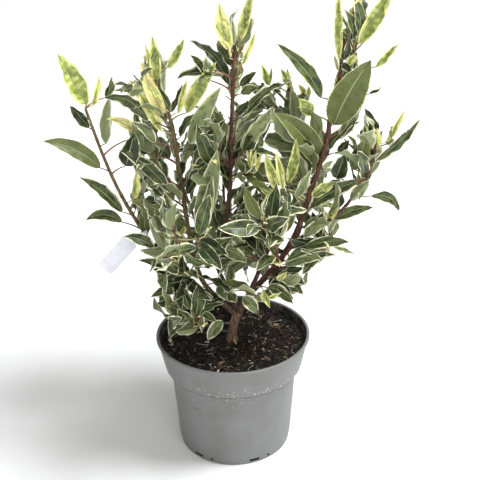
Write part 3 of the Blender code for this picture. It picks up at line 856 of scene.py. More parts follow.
def leaf_blade(base, tip, bend, facing, width, look, seed, pitch=ROW_PITCH):
    """One blade: rows from stalk to tip and columns from edge to edge, in a top and a back skin."""
    length = np.linalg.norm(tip - base)
    rows = int(np.clip(round(length / pitch), FEWEST_ROWS, MOST_ROWS))
    t = np.linspace(0, 1, rows + 1)
    spine = base + np.outer(t, tip - base) + np.outer(4 * t * (1 - t), bend)
    along = unit(np.gradient(spine, axis=0))
    up = unit(facing - (along @ facing)[:, None] * along)
    across = np.cross(along, up)
    turn = (math.radians(look.twist) * seed.normal() * (t - 0.3))[:, None]
    up, across = np.cos(turn) * up + np.sin(turn) * across, np.cos(turn) * across - np.sin(turn) * up
    half = 0.5 * width * OUTLINE_SCALE * t**ROUND_BASE * (1 - t) ** POINTED_TIP
    half = np.maximum(half * (1 + TOOTH * (-1.0) ** np.arange(rows + 1)), LEAST_HALF)

    sides = []
    for _ in range(2):
        bare = 0.001 * look.margin * (1 + MARGIN_WANDER * wander(9 * t, seed)) / half
        spill = look.spill * np.clip(wander(5 * t, seed) - 0.2, 0, 1)
        heart = np.clip(1 - bare - spill, HEART_LEAST, HEART_MOST)
        inner = [step * heart for step in HEART_STEPS]
        sides.append(np.stack((0 * t, 0 * t + RIB_HALF, *inner, heart, (1 + heart) / 2, 1 + 0 * t)))
    s = np.concatenate((-sides[0][:0:-1], sides[1])).T
    centre_column = s.shape[1] // 2
    reach = np.abs(s)
    calm = np.sqrt(4 * t * (1 - t))[:, None]
    fold = math.radians(look.fold) * seed.uniform(0.6, 1.3)
    lift = half[:, None] * reach * math.sin(fold)
    flat = half[:, None] * s * math.cos(fold)
    phase = np.where(s < 0, seed.uniform(0, math.tau), seed.uniform(0, math.tau))
    waves = math.tau * length / WAVE_LENGTH * t[:, None]
    lift += 0.001 * look.wave * calm * reach**2 * np.sin(waves * seed.uniform(0.8, 1.2) + phase)
    veins = math.pi * (length / VEIN_SPACING * t[:, None] - 1.1 * reach + 0.5 * (s < 0))
    bulge = np.abs(np.sin(veins)) - 0.6
    lift += 0.001 * look.pucker * calm * bulge * (1 - reach**4) * np.minimum(1, 4 * reach)
    thick = LEAF_THICK + (RIM_THICK - LEAF_THICK) * reach**2
    top = spine[:, None] + flat[..., None] * across[:, None] + (lift + thick / 2)[..., None] * up[:, None]
    back = top - thick[..., None] * up[:, None]
    top[:, centre_column] -= RIB_GROOVE * up
    back[:, centre_column] -= RIB_KEEL * up * calm

    columns = s.shape[1]
    top_faces, back_faces, rims = skin_faces(rows + 1, columns)
    cell_t = 0.5 * (t[1:] + t[:-1])[:, None] * np.ones(columns - 1)
    cell_s = 0.25 * (s[1:, 1:] + s[1:, :-1] + s[:-1, 1:] + s[:-1, :-1])
    marble = wander(length / MARBLE_SIZE * cell_t + 2.5 * cell_s, seed)
    marble += 0.6 * wander(7 * cell_s - 9 * cell_t, seed)
    marble += look.banding * np.sin(math.tau * length / VEIN_SPACING * cell_t - 2.2 * np.abs(cell_s))
    first, second, third = (SLOT[name] for name in look.heart)
    colours = np.where(marble > SECOND_TONE_OVER, second, np.where(marble < THIRD_TONE_UNDER, third, first))
    from_rim = np.minimum(np.arange(columns - 1), np.arange(columns - 1)[::-1])
    edge = np.where(wander(11 * cell_t + 3 * cell_s, seed) > 0.5, SLOT[look.edge[1]], SLOT[look.edge[0]])
    margin_width = np.concatenate((1 - sides[0][4:5], 1 - sides[1][4:5])).T * half[:, None]
    wide = 0.5 * (margin_width[1:] + margin_width[:-1]) > WIDE_MARGIN
    band = np.where(np.repeat(wide, columns // 2, axis=1), SLOT[look.band], edge)
    colours = np.where(from_rim == 1, band, colours)
    colours = np.where(from_rim == 0, edge, colours)
    colours = np.where((from_rim == centre_column - 1) & (cell_t < RIB_ENDS), SLOT["midrib"], colours)
    backs = np.where(from_rim <= 1, SLOT["back_cream"], SLOT["back"]) + 0 * colours
    if seed.random() < SCORCHED_SHARE:
        scorched = cell_t + 0.05 * np.abs(cell_s) > seed.uniform(*SCORCH_STARTS)
        colours = np.where(scorched, SLOT["scorched"], colours)
    rim_colour = SLOT[look.edge[0]]
    faces = [(top_faces, colours.ravel()), (back_faces, backs.ravel()), (rims, rim_colour)]
    return np.concatenate((top.reshape(-1, 3), back.reshape(-1, 3))), faces


STALK_COLOURS = {
    "wine_stalk": (0.125, 0.040, 0.030),
    "red_stalk": (0.230, 0.095, 0.060),
    "green_stalk": (0.210, 0.210, 0.075),
    "straw_stalk": (0.480, 0.420, 0.190),
}
STALK_FOR = {"butter": 3, "blush": 1, "lime": 2, "pale": 2}
STALK_FOOT = 0.00085
STALK_END = 0.00055
LONGEST_STALK = 0.016
STALK_CLIMB = 0.5
ABOVE_COST = 1.5
THICKEST_SIDE_TWIG = 0.0011
leaf_heap = []
stalk_heap = []
twig_heap = []


def stem_spots():
    """Every stem's points, with each point's direction and radius, in single arrays."""
    routes = np.concatenate([stem.route for stem in stems])
    ways = np.concatenate([unit(np.gradient(stem.route, axis=0)) for stem in stems])
    radii = np.concatenate([stem.radii for stem in stems])
    return routes, ways, radii


def join_to_stem(base, way, spots, slot):
    """A stalk from the nearest stem to a blade's base, or a thin twig where that is far."""
    routes, ways, radii = spots
    level = np.hypot(routes[:, 0] - base[0], routes[:, 1] - base[1])
    above = np.maximum(0, routes[:, 2] - base[2] + STALK_CLIMB * level)
    at = int(np.argmin(np.linalg.norm(routes - base, axis=1) + ABOVE_COST * above))
    foot = routes[at]
    span = np.linalg.norm(base - foot)
    t = np.linspace(0, 1, 6 if span < LONGEST_STALK else 14)[:, None]
    lean = unit(base - foot + 0.5 * span * ways[at])
    route = (1 - t) ** 2 * foot + 2 * t * (1 - t) * (foot + 0.45 * span * lean) + t**2 * base
    pull = 0.25 * min(span, 0.008)
    route = route - (t * (1 - t)) * pull * way
    if span < LONGEST_STALK:
        stalk_heap.append(tube(route, np.linspace(STALK_FOOT, STALK_END, len(t)), 6, slot))
    else:
        thick = min(THICKEST_SIDE_TWIG, 0.8 * radii[at])
        twig_heap.append(tube(route, np.linspace(thick, STALK_END, len(t)), 7, slot))


def add_leaf(base, tip, bend, facing, width, look_name, spots, pitch=ROW_PITCH):
    """A blade and its stalk."""
    leaf_heap.append(leaf_blade(base, tip, bend, facing, width, LOOKS[look_name], leaf_seed, pitch))
    slot = STALK_FOR.get(look_name, int(leaf_seed.integers(0, 2)))
    blade_way = unit(tip - base)
    join_to_stem(base + 0.0006 * blade_way, blade_way, spots, slot)


# The leaves that show singly in the photograph: look, tip and base in its pixels, width in pixels,
# how far the midrib bows (right, down) from straight, roll in degrees from facing the camera, and
# how far the tip comes towards it in millimetres. Each group hangs at one depth behind the pot's axis.
# Rows with the 'shade' look paint the shade those leaves sit in into their colours.
SEEN_LEAVES = {
    "left": (0.000, (
        ("lime", (57, 54), (87, 105), 20, (-1, -1), 12, 12),
        ("butter", (99, 75), (92, 106), 7, (1, 0), 20, 0),
        ("shade", (70, 106), (89, 128), 12, (0, -1), -10, 8),
        ("olive", (43, 141), (100, 168), 17, (3, -5), 8, 10),
        ("old", (79, 177), (122, 212), 13, (2, -2), 25, 12),
        ("green", (86, 220), (122, 222), 12, (0, -6), 10, 10),
        ("pale", (110, 96), (106, 144), 12, (-3, 2), 165, 5),
        ("old", (112, 76), (106, 98), 9, (1, 0), 20, -4),
        ("green", (103, 98), (148, 121), 12, (3, -9), -35, 10),
        ("blush", (107, 119), (139, 137), 9, (2, -4), 10, 8),
        ("shade", (134, 133), (126, 166), 20, (0, 0), 0, 10),
        ("old", (119, 150), (170, 193), 13, (4, -4), -20, 8),
        ("butter", (136, 172), (134, 199), 8, (0, 0), 30, 5),
        ("olive", (131, 201), (189, 234), 17, (3, -5), -15, 15),
        ("olive", (143, 206), (145, 233), 12, (0, 0), 30, 5),
        ("shade", (153, 188), (167, 212), 11, (0, 0), 10, 6),
        ("grey", (132, 122), (155, 143), 10, (2, -2), 20, 2),
        ("grey", (158, 229), (192, 257), 12, (3, -4), 170, 14),
    )),
    "left middle": (0.006, (
        ("butter", (129, 80), (161, 131), 11, (1, -2), 10, 15),
        ("blush", (141, 62), (165, 116), 12, (-2, 2), 10, 12),
        ("lime", (152, 36), (157, 80), 11, (0, 0), 0, 5),
        ("blush", (145, 44), (153, 80), 5, (0, 0), 30, 2),
        ("lime", (184, 39), (167, 68), 9, (1, 1), 0, 5),
        ("butter", (187, 80), (178, 113), 8, (-1, 0), 20, 8),
        ("shade", (182, 84), (171, 112), 7, (0, 0), 20, 4),
        ("lime", (216, 62), (187, 113), 15, (-2, -2), 0, 25),
        ("pale", (221, 87), (190, 144), 17, (-2, -2), 10, 30),
        ("shade", (190, 41), (228, 84), 13, (5, -4), 15, 5),
        ("old", (190, 55), (207, 80), 9, (2, -2), 20, 8),
        ("old", (226, 119), (194, 176), 13, (-4, -2), -25, 22),
        ("old", (229, 134), (187, 194), 14, (-3, -2), -20, 22),
        ("green", (150, 92), (167, 122), 10, (-1, 0), 10, 4),
        ("green", (157, 86), (170, 112), 9, (1, 0), -10, 0),
    )),
    "centre": (-0.002, (
        ("butter", (219, 3), (230, 50), 13, (-2, 0), 5, 10),
        ("pale", (232, 17), (234, 45), 6, (0, 0), 0, 2),
        ("lime", (252, -8), (239, 42), 11, (0, 0), 0, 6),
        ("butter", (256, 31), (242, 65), 6, (0, 0), 10, 4),
        ("old", (284, 84), (242, 118), 10, (0, -7), -20, 12),
        ("pale", (275, 105), (241, 148), 14, (2, -2), 20, 18),
        ("green", (258, 88), (241, 94), 9, (0, -2), 20, 6),
        ("shade", (256, 72), (240, 86), 9, (0, -1), 10, 4),
        ("shade", (248, 100), (237, 114), 10, (0, 0), 20, 8),
        ("pale", (217, 150), (198, 231), 20, (1, -2), 5, 35),
        ("grey", (213, 176), (202, 228), 12, (0, 0), 20, 38),
        ("olive", (271, 203), (235, 159), 14, (2, -4), 15, 35),
        ("grey", (246, 203), (260, 247), 24, (2, 0), 10, 50),
        ("old", (237, 212), (262, 196), 10, (0, -2), -10, 30),
    )),
    "front buds": (-0.030, (
        ("butter", (247, 150), (251, 172), 4, (0, 0), 10, 0),
        ("butter", (251, 149), (252, 172), 4, (0, 0), 0, 3),
        ("butter", (256, 150), (252, 173), 4, (0, 0), -10, 6),
        ("blush", (261, 153), (253, 174), 5, (0, 0), 20, 2),
        ("butter", (265, 151), (276, 190), 9, (0, 0), 0, 10),
        ("butter", (276, 152), (283, 189), 7, (0, 0), 10, 6),
        ("lime", (296, 139), (288, 183), 11, (2, 0), 0, 10),
        ("pale", (311, 170), (296, 198), 10, (0, -1), 20, 8),
    )),
    "right": (-0.012, (
        ("green", (277, 44), (321, 98), 15, (5, -2), 20, 8),
        ("lime", (299, 99), (312, 115), 12, (0, 0), 20, 4),
        ("olive", (312, 110), (317, 139), 10, (0, 0), 20, 2),
        ("olive", (275, 113), (320, 166), 24, (6, -3), 8, 10),
        ("lime", (338, -10), (339, 60), 9, (0, 0), 0, 4),
        ("blush", (362, -4), (348, 22), 8, (0, 0), 10, 2),
        ("lime", (392, -12), (359, 44), 16, (1, 0), 0, 6),
        ("shade", (359, 17), (349, 40), 8, (2, 0), 20, 4),
        ("shade", (349, 42), (343, 60), 9, (0, 0), 30, 4),
        ("butter", (357, 52), (346, 66), 7, (0, 0), 20, 6),
        ("shade", (352, 72), (343, 63), 8, (0, 0), 20, 8),
        ("pale", (334, 55), (338, 70), 5, (0, 0), 10, 2),
        ("lime", (398, 44), (376, 67), 8, (0, 0), 10, 2),
        ("olive", (371, 60), (334, 125), 34, (-3, -1), 12, 14),
        ("grey", (362, 102), (338, 134), 10, (1, 1), 165, 8),
        ("old", (359, 113), (338, 139), 7, (1, 1), 30, 6),
        ("shade", (384, 86), (369, 94), 3, (0, 0), 20, 2),
    )),
    "back right": (0.052, (
        ("lime", (262, 65), (268, 85), 6, (0, 0), 0, 2),
        ("lime", (272, 68), (269, 85), 4, (0, 0), 0, 2),
        ("lime", (281, 69), (290, 87), 7, (0, 0), 0, 4),
        ("lime", (287, 69), (291, 87), 4, (0, 0), 0, 2),
        ("butter", (298, 84), (306, 99), 6, (0, 0), 20, 2),
        ("butter", (309, 86), (306, 99), 5, (0, 0), 20, 2),
    )),
    "right outer": (-0.028, (
        ("shade", (364, 108), (373, 142), 10, (4, 0), 20, 4),
        ("butter", (377, 128), (375, 150), 9, (0, 0), 20, 6),
        ("butter", (405, 109), (387, 142), 7, (0, 0), 10, 4),
        ("old", (421, 118), (375, 162), 10, (2, 1), 20, 6),
        ("olive", (366, 138), (352, 169), 18, (2, 0), 10, 10),
        ("shade", (345, 154), (336, 178), 17, (0, 0), 10, 8),
        ("shade", (349, 140), (338, 152), 9, (0, 0), 20, 6),
        ("old", (368, 179), (309, 208), 14, (-2, -4), 10, 14),
        ("lime", (336, 182), (312, 197), 10, (0, -2), 20, 8),
        ("butter", (338, 194), (327, 222), 11, (0, 0), 15, 8),
        ("green", (373, 207), (335, 219), 12, (0, -3), 10, 8),
        ("green", (399, 211), (371, 196), 10, (4, -6), 25, 4),
        ("pale", (359, 200), (368, 176), 8, (0, 0), 20, 8),
    )),
    "low right": (-0.045, (
        ("old", (263, 203), (307, 210), 9, (0, 2), -15, 12),
        ("grey", (296, 215), (274, 233), 14, (0, 0), 10, 12),
        ("grey", (326, 220), (304, 237), 12, (0, -2), 15, 10),
        ("green", (350, 242), (306, 247), 12, (0, -3), 5, 12),
        ("pale", (355, 254), (334, 247), 6, (0, -1), 20, 6),
        ("grey", (322, 259), (285, 265), 14, (0, -5), 5, 14),
        ("old", (336, 255), (306, 258), 8, (0, -2), 10, 6),
        ("shade", (304, 267), (286, 270), 8, (0, 0), 20, 8),
        ("butter", (262, 260), (281, 262), 9, (0, 1), 40, 12),
        ("old", (305, 285), (278, 278), 14, (0, -4), 5, 10),
        ("old", (303, 294), (280, 283), 13, (0, -3), 10, 14),
        ("old", (293, 304), (268, 288), 13, (1, -4), 10, 16),
        ("butter", (287, 272), (277, 280), 6, (0, 0), 20, 4),
        ("butter", (270, 308), (263, 289), 8, (1, 0), 30, 14),
        ("grey", (258, 315), (242, 298), 13, (2, -2), 5, 16),
        ("pale", (266, 301), (256, 296), 7, (0, 0), 20, 12),
        ("grey", (247, 263), (221, 249), 14, (1, -3), 10, 20),
        ("old", (237, 302), (228, 292), 10, (0, 0), 30, 14),
    )),
    "low left": (-0.030, (
        ("old", (124, 237), (154, 248), 12, (1, -3), 15, 6),
        ("green", (139, 251), (187, 268), 14, (3, -4), 5, 12),
        ("old", (138, 260), (186, 275), 12, (3, -2), 10, 8),
        ("shade", (153, 269), (172, 273), 8, (0, 0), 10, 4),
        ("green", (151, 297), (198, 286), 15, (0, -5), 5, 16),
        ("shade", (160, 284), (192, 276), 11, (0, -3), 10, 8),
        ("old", (153, 307), (175, 303), 8, (0, -1), 10, 10),
        ("old", (170, 338), (205, 300), 24, (-4, -7), 8, 26),
        ("grey", (226, 300), (221, 282), 14, (0, 0), 15, 22),
        ("old", (217, 251), (206, 268), 9, (0, 0), 15, 14),
        ("shade", (213, 310), (196, 292), 14, (2, 0), 10, 22),
        ("grey", (208, 340), (223, 321), 12, (-1, -1), 10, 8),
        ("old", (191, 334), (200, 315), 7, (-1, 0), 15, 6),
        ("grey", (202, 333), (202, 315), 6, (0, 0), 15, 8),
        ("green", (216, 322), (202, 313), 8, (0, -1), 10, 6),
        ("green", (186, 318), (199, 313), 7, (0, -1), 10, 2),
    )),
}

WIDEN_LEAST = 0.45
for depth, rows in SEEN_LEAVES.values():
    spots = stem_spots()
    for look_name, tip_px, base_px, width_px, (right, down), roll, toward in rows:
        base = seen_at(base_px, depth)
        tip = seen_at(tip_px, depth - 0.001 * toward)
        middle = 0.5 * (base + tip)
        metres = ((middle - EYE) @ AHEAD) / FOCAL_PX
        bend = metres * (right * VIEW_RIGHT - down * VIEW_UP)
        blade_way = unit(tip - base)
        sight = unit(EYE - middle)
        facing = unit(sight - (sight @ blade_way) * blade_way)
        roll = math.radians(roll)
        facing = math.cos(roll) * facing + math.sin(roll) * np.cross(blade_way, facing)
        fold = math.cos(math.radians(LOOKS[look_name].fold))
        shown = max(WIDEN_LEAST, fold * abs(math.cos(roll)))
        add_leaf(base, tip, bend, facing, width_px * metres / shown, look_name, spots, SEEN_PITCH)

# A dead leaf that has lodged against the foot of the trunk
DEAD_LEAF = np.array(((0.0015, -0.0085, 0.1475), (0.0045, -0.0150, 0.1400)))
dead_bend = np.array((0.0, -0.0015, 0.0010))
toward_eye = unit(EYE - DEAD_LEAF[0])
leaf_heap.append(leaf_blade(*DEAD_LEAF, dead_bend, toward_eye, 0.006, LOOKS["dead"], leaf_seed, SEEN_PITCH))

# Shoots and the leaves on them that fill each mass: a seeded rule draws each shoot from the nearest
# wood towards a place in the mass, sets leaves round it at the golden angle, and leaves out what
# would cross the sky in the photograph or hide the boughs that show.
CROWN_OUTLINE = (
    (168, 325), (152, 308), (150, 296), (140, 270), (138, 252), (128, 240), (134, 230), (131, 200),
    (136, 190), (134, 168), (122, 158), (118, 134), (106, 120), (100, 102), (106, 88), (116, 82),
    (126, 84), (132, 74), (142, 62), (150, 40), (157, 38), (162, 58), (172, 60), (182, 44), (184, 62),
    (184, 78), (194, 76), (192, 56), (204, 52), (216, 62), (217, 20), (224, 14), (232, 20), (240, 0),
    (250, -4), (254, 14), (250, 40), (246, 66), (250, 82), (262, 76), (274, 80), (288, 78), (304, 86),
    (314, 104), (322, 112), (330, 118), (334, 100), (333, 60), (335, 10), (340, -10), (362, -10),
    (388, -8), (376, 18), (360, 48), (368, 64), (368, 82), (360, 104), (368, 112), (380, 126),
    (392, 124), (404, 114), (412, 122), (392, 146), (380, 160), (370, 180), (364, 200), (366, 208),
    (350, 216), (338, 222), (336, 236), (346, 242), (350, 252), (334, 258), (322, 268), (308, 274),
    (304, 288), (300, 298), (290, 302), (276, 298), (268, 304), (256, 312), (244, 306), (236, 300),
    (226, 304), (214, 318), (206, 332), (176, 336),
)
# Sky that shows through the crown: middle, half width and half height, in pixels
SKY_GAPS = (
    (121, 111, 9, 5), (95, 114, 4, 13), (116, 178, 6, 18), (127, 192, 5, 14), (129, 216, 5, 10),
    (169, 168, 5, 7), (170, 80, 6, 13), (227, 106, 4, 11), (195, 218, 6, 5), (243, 102, 4, 5),
    (284, 108, 4, 6), (310, 131, 4, 5), (328, 163, 4, 8), (345, 204, 6, 4), (353, 127, 6, 9),
    (280, 158, 3, 4), (292, 231, 3, 5), (203, 268, 4, 4), (250, 268, 3, 3),
)
CLEAR_BOUGHS = {
    "bough_right": (0.200, 0.500),
    "bough_centre": (0.262, 0.515),
    "bough_left_middle": (0.262, 0.465),
    "bough_left": (0.270, 0.440),
}
CLEAR_WIDTH_PX = 4.0
GOLDEN = math.radians(137.5)
growth_seed = np.random.default_rng(8)
outline = np.array(CROWN_OUTLINE, float)
gaps = np.array(SKY_GAPS, float)
clear_wood = []
for stem in stems:
    if stem.name in CLEAR_BOUGHS:
        low, high = CLEAR_BOUGHS[stem.name]
        clear_wood.append(stem.route[(stem.route[:, 2] > low) & (stem.route[:, 2] < high)])
clear_wood = np.concatenate(clear_wood)
clear_px = pixels_of(clear_wood)


def in_crown(points):
    """Whether every point is seen inside the crown's outline and outside its gaps of sky."""
    x, y = pixels_of(points).T
    for gap_x, gap_y, half_x, half_y in gaps:
        if (((x - gap_x) / half_x) ** 2 + ((y - gap_y) / half_y) ** 2 < 1).any():
            return False
    crossings = np.zeros(len(x), int)
    for (x1, y1), (x2, y2) in zip(outline, np.roll(outline, -1, axis=0)):
        if y1 != y2:
            crossings += ((y1 > y) != (y2 > y)) & (x < x1 + (y - y1) * (x2 - x1) / (y2 - y1))
    return bool((crossings % 2 == 1).all())


def hides_wood(points):
    """Whether any of the points lies in front of a bough that shows, and close to it in the picture."""
    spots = pixels_of(points)
    apart = np.linalg.norm(spots[:, None] - clear_px, axis=2)
    in_front = points[:, None, 1] < clear_wood[:, 1]
    return bool(((apart < CLEAR_WIDTH_PX) & in_front).any())


BOX_MARGIN = 0.001
box_low = np.array(cad_box[0]) + BOX_MARGIN
box_high = np.array(cad_box[1]) - BOX_MARGIN


def leaf_fits(base, tip, bend, facing, width):
    """Whether a blade stays in the model's box and the crown, and clear of the boughs that show."""
    blade_way = unit(tip - base)
    across = unit(np.cross(blade_way, facing))
    middle = 0.5 * (base + tip) + bend
    low = base + 0.25 * (tip - base) + 0.75 * bend
    points = np.stack((base, low, middle, tip, middle + 0.4 * width * across, middle - 0.4 * width * across))
    inside = (points > box_low).all() and (points < box_high).all()
    return bool(inside) and in_crown(points) and not hides_wood(points)


# The 'shade' share among mature leaves paints the dark inside of the crown as painted shade.
MATURE = (("old", 0.32), ("green", 0.22), ("grey", 0.14), ("shade", 0.24), ("olive", 0.08))
YOUNG = (("lime", 0.45), ("butter", 0.33), ("pale", 0.14), ("blush", 0.08))


def pick(looks):
    names, shares = zip(*looks)
    return names[growth_seed.choice(len(names), p=np.array(shares) / sum(shares))]


YOUNG_FROM = 0.86
YOUNG_OPENING = (16, 34)
MATURE_OPENING = (34, 68)
YOUNG_SIZE = (0.55, 0.85)
MATURE_SIZE = (0.8, 1.1)
YOUNG_SLENDER = (0.20, 0.28)
MATURE_SLENDER = (0.32, 0.42)
STALK_LENGTH = (0.005, 0.010)
RISE = (-0.30, 0.12)
RISES_ABOVE = 0.24
LIFT = 0.30
LIFT_SPAN = 0.10
TRIES = 4


def leaves_round(route, first, spacing, length_low, length_high, spots, young_end=True):
    """Sets leaves along a shoot at the golden angle, larger in its middle and new at its end."""
    run = np.concatenate(([0.0], np.cumsum(np.linalg.norm(np.diff(route, axis=0), axis=1))))
    ways = unit(np.gradient(route, axis=0))
    bearing = growth_seed.uniform(0, math.tau)
    at = first * run[-1]
    while at <= run[-1]:
        share = at / run[-1]
        foot = np.array([np.interp(at, run, route[:, axis]) for axis in range(3)])
        way = unit(np.array([np.interp(at, run, ways[:, axis]) for axis in range(3)]))
        side = unit(np.cross(way, (0.2, 0.1, 1.0)))
        other = np.cross(way, side)
        is_young = young_end and share > YOUNG_FROM
        look_name = pick(YOUNG if is_young else MATURE)
        for _ in range(TRIES):
            bearing += GOLDEN
            out = math.cos(bearing) * side + math.sin(bearing) * other
            opening = math.radians(growth_seed.uniform(*(YOUNG_OPENING if is_young else MATURE_OPENING)))
            lean = math.cos(opening) * way + math.sin(opening) * out
            rise = growth_seed.uniform(*RISE) + LIFT * min(1, max(0, (foot[2] - RISES_ABOVE) / LIFT_SPAN))
            lean = unit(lean + (0, 0, 0.10 if is_young else rise))
            size = growth_seed.uniform(*(YOUNG_SIZE if is_young else MATURE_SIZE))
            length = size * (length_low + (length_high - length_low) * math.sin(math.pi * min(share, 0.9)))
            width = length * growth_seed.uniform(*(YOUNG_SLENDER if is_young else MATURE_SLENDER))
            base = foot + growth_seed.uniform(*STALK_LENGTH) * unit(lean + 0.4 * out)
            tip = base + length * lean
            facing = unit(way - (way @ lean) * lean + 0.25 * growth_seed.normal(0, 1, 3))
            bend = length * growth_seed.uniform(0.03, 0.18) * facing
            if leaf_fits(base, tip, bend, facing, width):
                add_leaf(base, tip, bend, facing, width, look_name, spots)
                break
        at += spacing * growth_seed.uniform(0.75, 1.25)


TWIG_FOOT = 0.0013
TWIG_TIP = 0.0008
SHOOTS_PER_MASS = 7
SHOOT_CLIMB = 0.02
SHOOT_ABOVE_COST = 1.2
SHOOT_SPACING = 0.0065
SHOOT_LEAVES = (0.032, 0.048)
BOUGH_SPACING = 0.016
BOUGH_LEAVES = (0.032, 0.050)
DENSE_MASSES = {"foliage_heart": 13, "foliage_low_back": 14, "foliage_centre": 11, "foliage_back_centre": 10}
mass_names = sorted(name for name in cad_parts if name.startswith("foliage_"))
mass_boxes = {name: [np.array(corner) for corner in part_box(name)] for name in mass_names}
for name in mass_names:
    low, high = mass_boxes[name]
    centre = 0.5 * (low + high)
    for _ in range(DENSE_MASSES.get(name, SHOOTS_PER_MASS)):
        routes, ways, radii = stem_spots()
        for _ in range(6):
            reach = unit(growth_seed.normal(0, 1, 3)) * growth_seed.uniform(0.25, 0.72)
            goal = centre + 0.5 * (high - low) * reach
            above = np.maximum(0, routes[:, 2] - goal[2] + SHOOT_CLIMB)
            apart = np.linalg.norm(routes - goal, axis=1) + SHOOT_ABOVE_COST * above
            at = int(np.argmin(apart))
            span = np.linalg.norm(goal - routes[at])
            start_way = unit(ways[at] + 1.2 * unit(goal - routes[at]))
            end_way = unit(unit(goal - routes[at]) + np.array((0, 0, 0.8)))
            t = np.linspace(0, 1, max(8, int(span / 0.003)))[:, None]
            route = (
                (2 * t**3 - 3 * t**2 + 1) * routes[at]
                + (t**3 - 2 * t**2 + t) * span * start_way
                + (3 * t**2 - 2 * t**3) * goal
                + (t**3 - t**2) * span * end_way
            )
            if in_crown(route[len(route) // 3 :]) and not hides_wood(route[len(route) // 3 :]):
                break
        else:
            continue
        foot_radius = min(TWIG_FOOT, 0.85 * radii[at])
        stem_radii = np.linspace(foot_radius, TWIG_TIP, len(route))
        stems.append(Stem("shoot_" + name, route, stem_radii))
        twig_radii = scarred(stem_radii, route, growth_seed)
        twig_heap.append(tube(route, twig_radii, 8, int(growth_seed.integers(0, 3))))
        leaves_round(route, 0.3, SHOOT_SPACING, *SHOOT_LEAVES, stem_spots())
for name in BOUGHS:
    (bough,) = (stem for stem in stems if stem.name == name)
    leaves_round(bough.route, 0.42, BOUGH_SPACING, *BOUGH_LEAVES, stem_spots(), young_end=name in LEADERS)

LEAF_PIECES = {
    "leaves_left": ("tip_left", "side_left", "tip_left_middle", "left_middle", "low_left"),
    "leaves_centre": ("tip_centre", "centre", "heart", "skirt_right"),
    "leaves_front": ("front_left", "front_right", "skirt_left"),
    "leaves_right": ("tip_right", "right", "side_right", "low_right", "tip_back_right"),
    "leaves_back": ("back_left", "back_centre", "back_right", "low_back"),
}
mass_centres = np.array([0.5 * (mass_boxes[name][0] + mass_boxes[name][1]) for name in mass_names])
piece_of_mass = {"foliage_" + mass: piece for piece, masses in LEAF_PIECES.items() for mass in masses}
piece_heaps = {piece: [] for piece in LEAF_PIECES}
for points, faces in leaf_heap:
    nearest = int(np.argmin(np.linalg.norm(mass_centres - points.mean(0), axis=1)))
    piece_heaps[piece_of_mass[mass_names[nearest]]].append((points, faces))
for piece_name, heap in piece_heaps.items():
    leaves = mesh_piece(piece_name, heap, leaf_finishes, crisp=math.radians(50))
    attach(leaves, "root")
    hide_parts(*("foliage_" + mass for mass in LEAF_PIECES[piece_name]))

stalk_finishes = []
for name, color in STALK_COLOURS.items():
    skin = new_finish(name, color, 0.5, 0.45)
    relief(skin, grain(skin, 900.0, stretch=(1.0, 1.0, 0.3)).outputs["Fac"], 0.4, 0.0004)
    stalk_finishes.append(skin)
for piece_name, heap in (("leaf_stalks", stalk_heap), ("twigs", twig_heap)):
    piece = mesh_piece(piece_name, heap, stalk_finishes)
    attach(piece, "root")

# Label: a thin white plastic strip, bare on both sides and a little curled, on a strap that is
# looped round the left bough.
LABEL_LENGTH = 0.052
LABEL_WIDTH = 0.020
LABEL_THICK = 0.0007
LABEL_TOP = np.array((-0.1155, -0.0105, 0.2810))
LABEL_ANGLE = math.radians(48)
LABEL_CURL = 0.0022
LABEL_BOW = 0.0012
LABEL_CORNER = 0.0022
STRIP_COLUMNS = 9
STRAP_WIDTH = 0.004
STRAP_THICK = 0.0011
STRAP_TUCK = 0.005
STRAP_BEHIND = 0.0004
LOOP_WIDTH = 0.005
LOOP_THICK = 0.0008
LOOP_GAP = 0.0010
LOOP_SIDES = 32
LOOP_HEIGHT = 0.286
label_down = unit(np.array((-math.cos(LABEL_ANGLE), 0.05, -math.sin(LABEL_ANGLE))))
label_facing = unit(np.array((0.0, -1.0, 0.25)))
label_side = unit(np.cross(label_down, label_facing))
label_out = np.cross(label_side, label_down)


def bent_strip(middles, widths, side, out, thick, curl):
    """A thin strip along its middle line, curled across its width, with both faces and all edges."""
    columns = np.linspace(1, -1, STRIP_COLUMNS)
    rows = len(middles)
    widths = np.broadcast_to(widths, rows)
    spread = 0.5 * widths[:, None, None] * columns[None, :, None] * side
    sag = curl * (widths[:, None] / LABEL_WIDTH) ** 2 * (columns**2 - 0.4)
    front = middles[:, None] + spread + sag[..., None] * out
    points = np.concatenate((front.reshape(-1, 3), (front - thick * out).reshape(-1, 3)))
    return points, [(faces, 0) for faces in skin_faces(rows, STRIP_COLUMNS)]


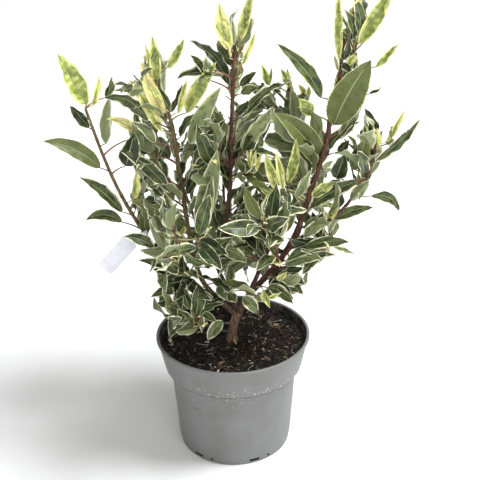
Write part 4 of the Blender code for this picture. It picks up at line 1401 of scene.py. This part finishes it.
(left_bough,) = (stem for stem in stems if stem.name == "bough_left")
loop_at = int(np.argmin(np.abs(left_bough.route[:, 2] - LOOP_HEIGHT)))
loop_centre = left_bough.route[loop_at]
loop_way = unit(left_bough.route[loop_at + 1] - left_bough.route[loop_at - 1])
t = np.linspace(0, 1, 24)[:, None]
strip_middles = LABEL_TOP + t * LABEL_LENGTH * label_down + LABEL_BOW * np.sin(math.pi * t) * label_out
run = t[:, 0] * LABEL_LENGTH
from_end = np.minimum(run, LABEL_LENGTH - run)
rounding = np.maximum(0, LABEL_CORNER - from_end)
inset = LABEL_CORNER - np.sqrt(LABEL_CORNER**2 - rounding**2)
label_heap = [
    bent_strip(strip_middles, LABEL_WIDTH - 2 * inset, label_side, label_out, LABEL_THICK, LABEL_CURL)
]
t = np.linspace(0, 1, 10)[:, None]
strap_end = LABEL_TOP + STRAP_TUCK * label_down
strap_middles = loop_centre + t * (strap_end - loop_centre) - STRAP_BEHIND * label_out
label_heap.append(bent_strip(strap_middles, STRAP_WIDTH, label_side, label_out, STRAP_THICK, 0.0))
loop_outer = left_bough.radii[loop_at] + LOOP_GAP
loop_side = unit(np.cross(loop_way, (0.0, 1.0, 0.0)))
loop_other = np.cross(loop_way, loop_side)
angles = np.linspace(0, math.tau, LOOP_SIDES + 1)[:, None]
ring = loop_outer * (np.cos(angles) * loop_side + np.sin(angles) * loop_other)
ring_points = []
for along, swell in ((-0.5, 0.0), (0.5, 0.0), (0.5, LOOP_THICK), (-0.5, LOOP_THICK)):
    ring_points.append(loop_centre + along * LOOP_WIDTH * loop_way + ring * (1 + swell / loop_outer))
ring_points = np.stack(ring_points, 1)[:-1]
ring_index = np.arange(LOOP_SIDES * 4).reshape(LOOP_SIDES, 4)
ring_next = np.roll(ring_index, -1, axis=0)
ring_faces = [
    np.stack((ring_index[:, k], ring_next[:, k], ring_next[:, (k + 1) % 4], ring_index[:, (k + 1) % 4]), -1)
    for k in range(4)
]
label_heap.append((ring_points.reshape(-1, 3), [(face, 0) for face in ring_faces]))
label_finish = new_finish("white_plastic", (0.80, 0.81, 0.86), 0.38, 0.5)
label_tone = grain(label_finish, 120.0)
whites = ramp(label_finish, label_tone.outputs["Fac"], [(0.3, (0.74, 0.75, 0.82)), (0.7, (0.84, 0.85, 0.90))])
drive(label_finish, "Base Color", whites.outputs["Color"])
relief(label_finish, label_tone.outputs["Fac"], 0.15, 0.0003)
label = mesh_piece("blank_label", label_heap, [label_finish])
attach(label, "root")
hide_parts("label")
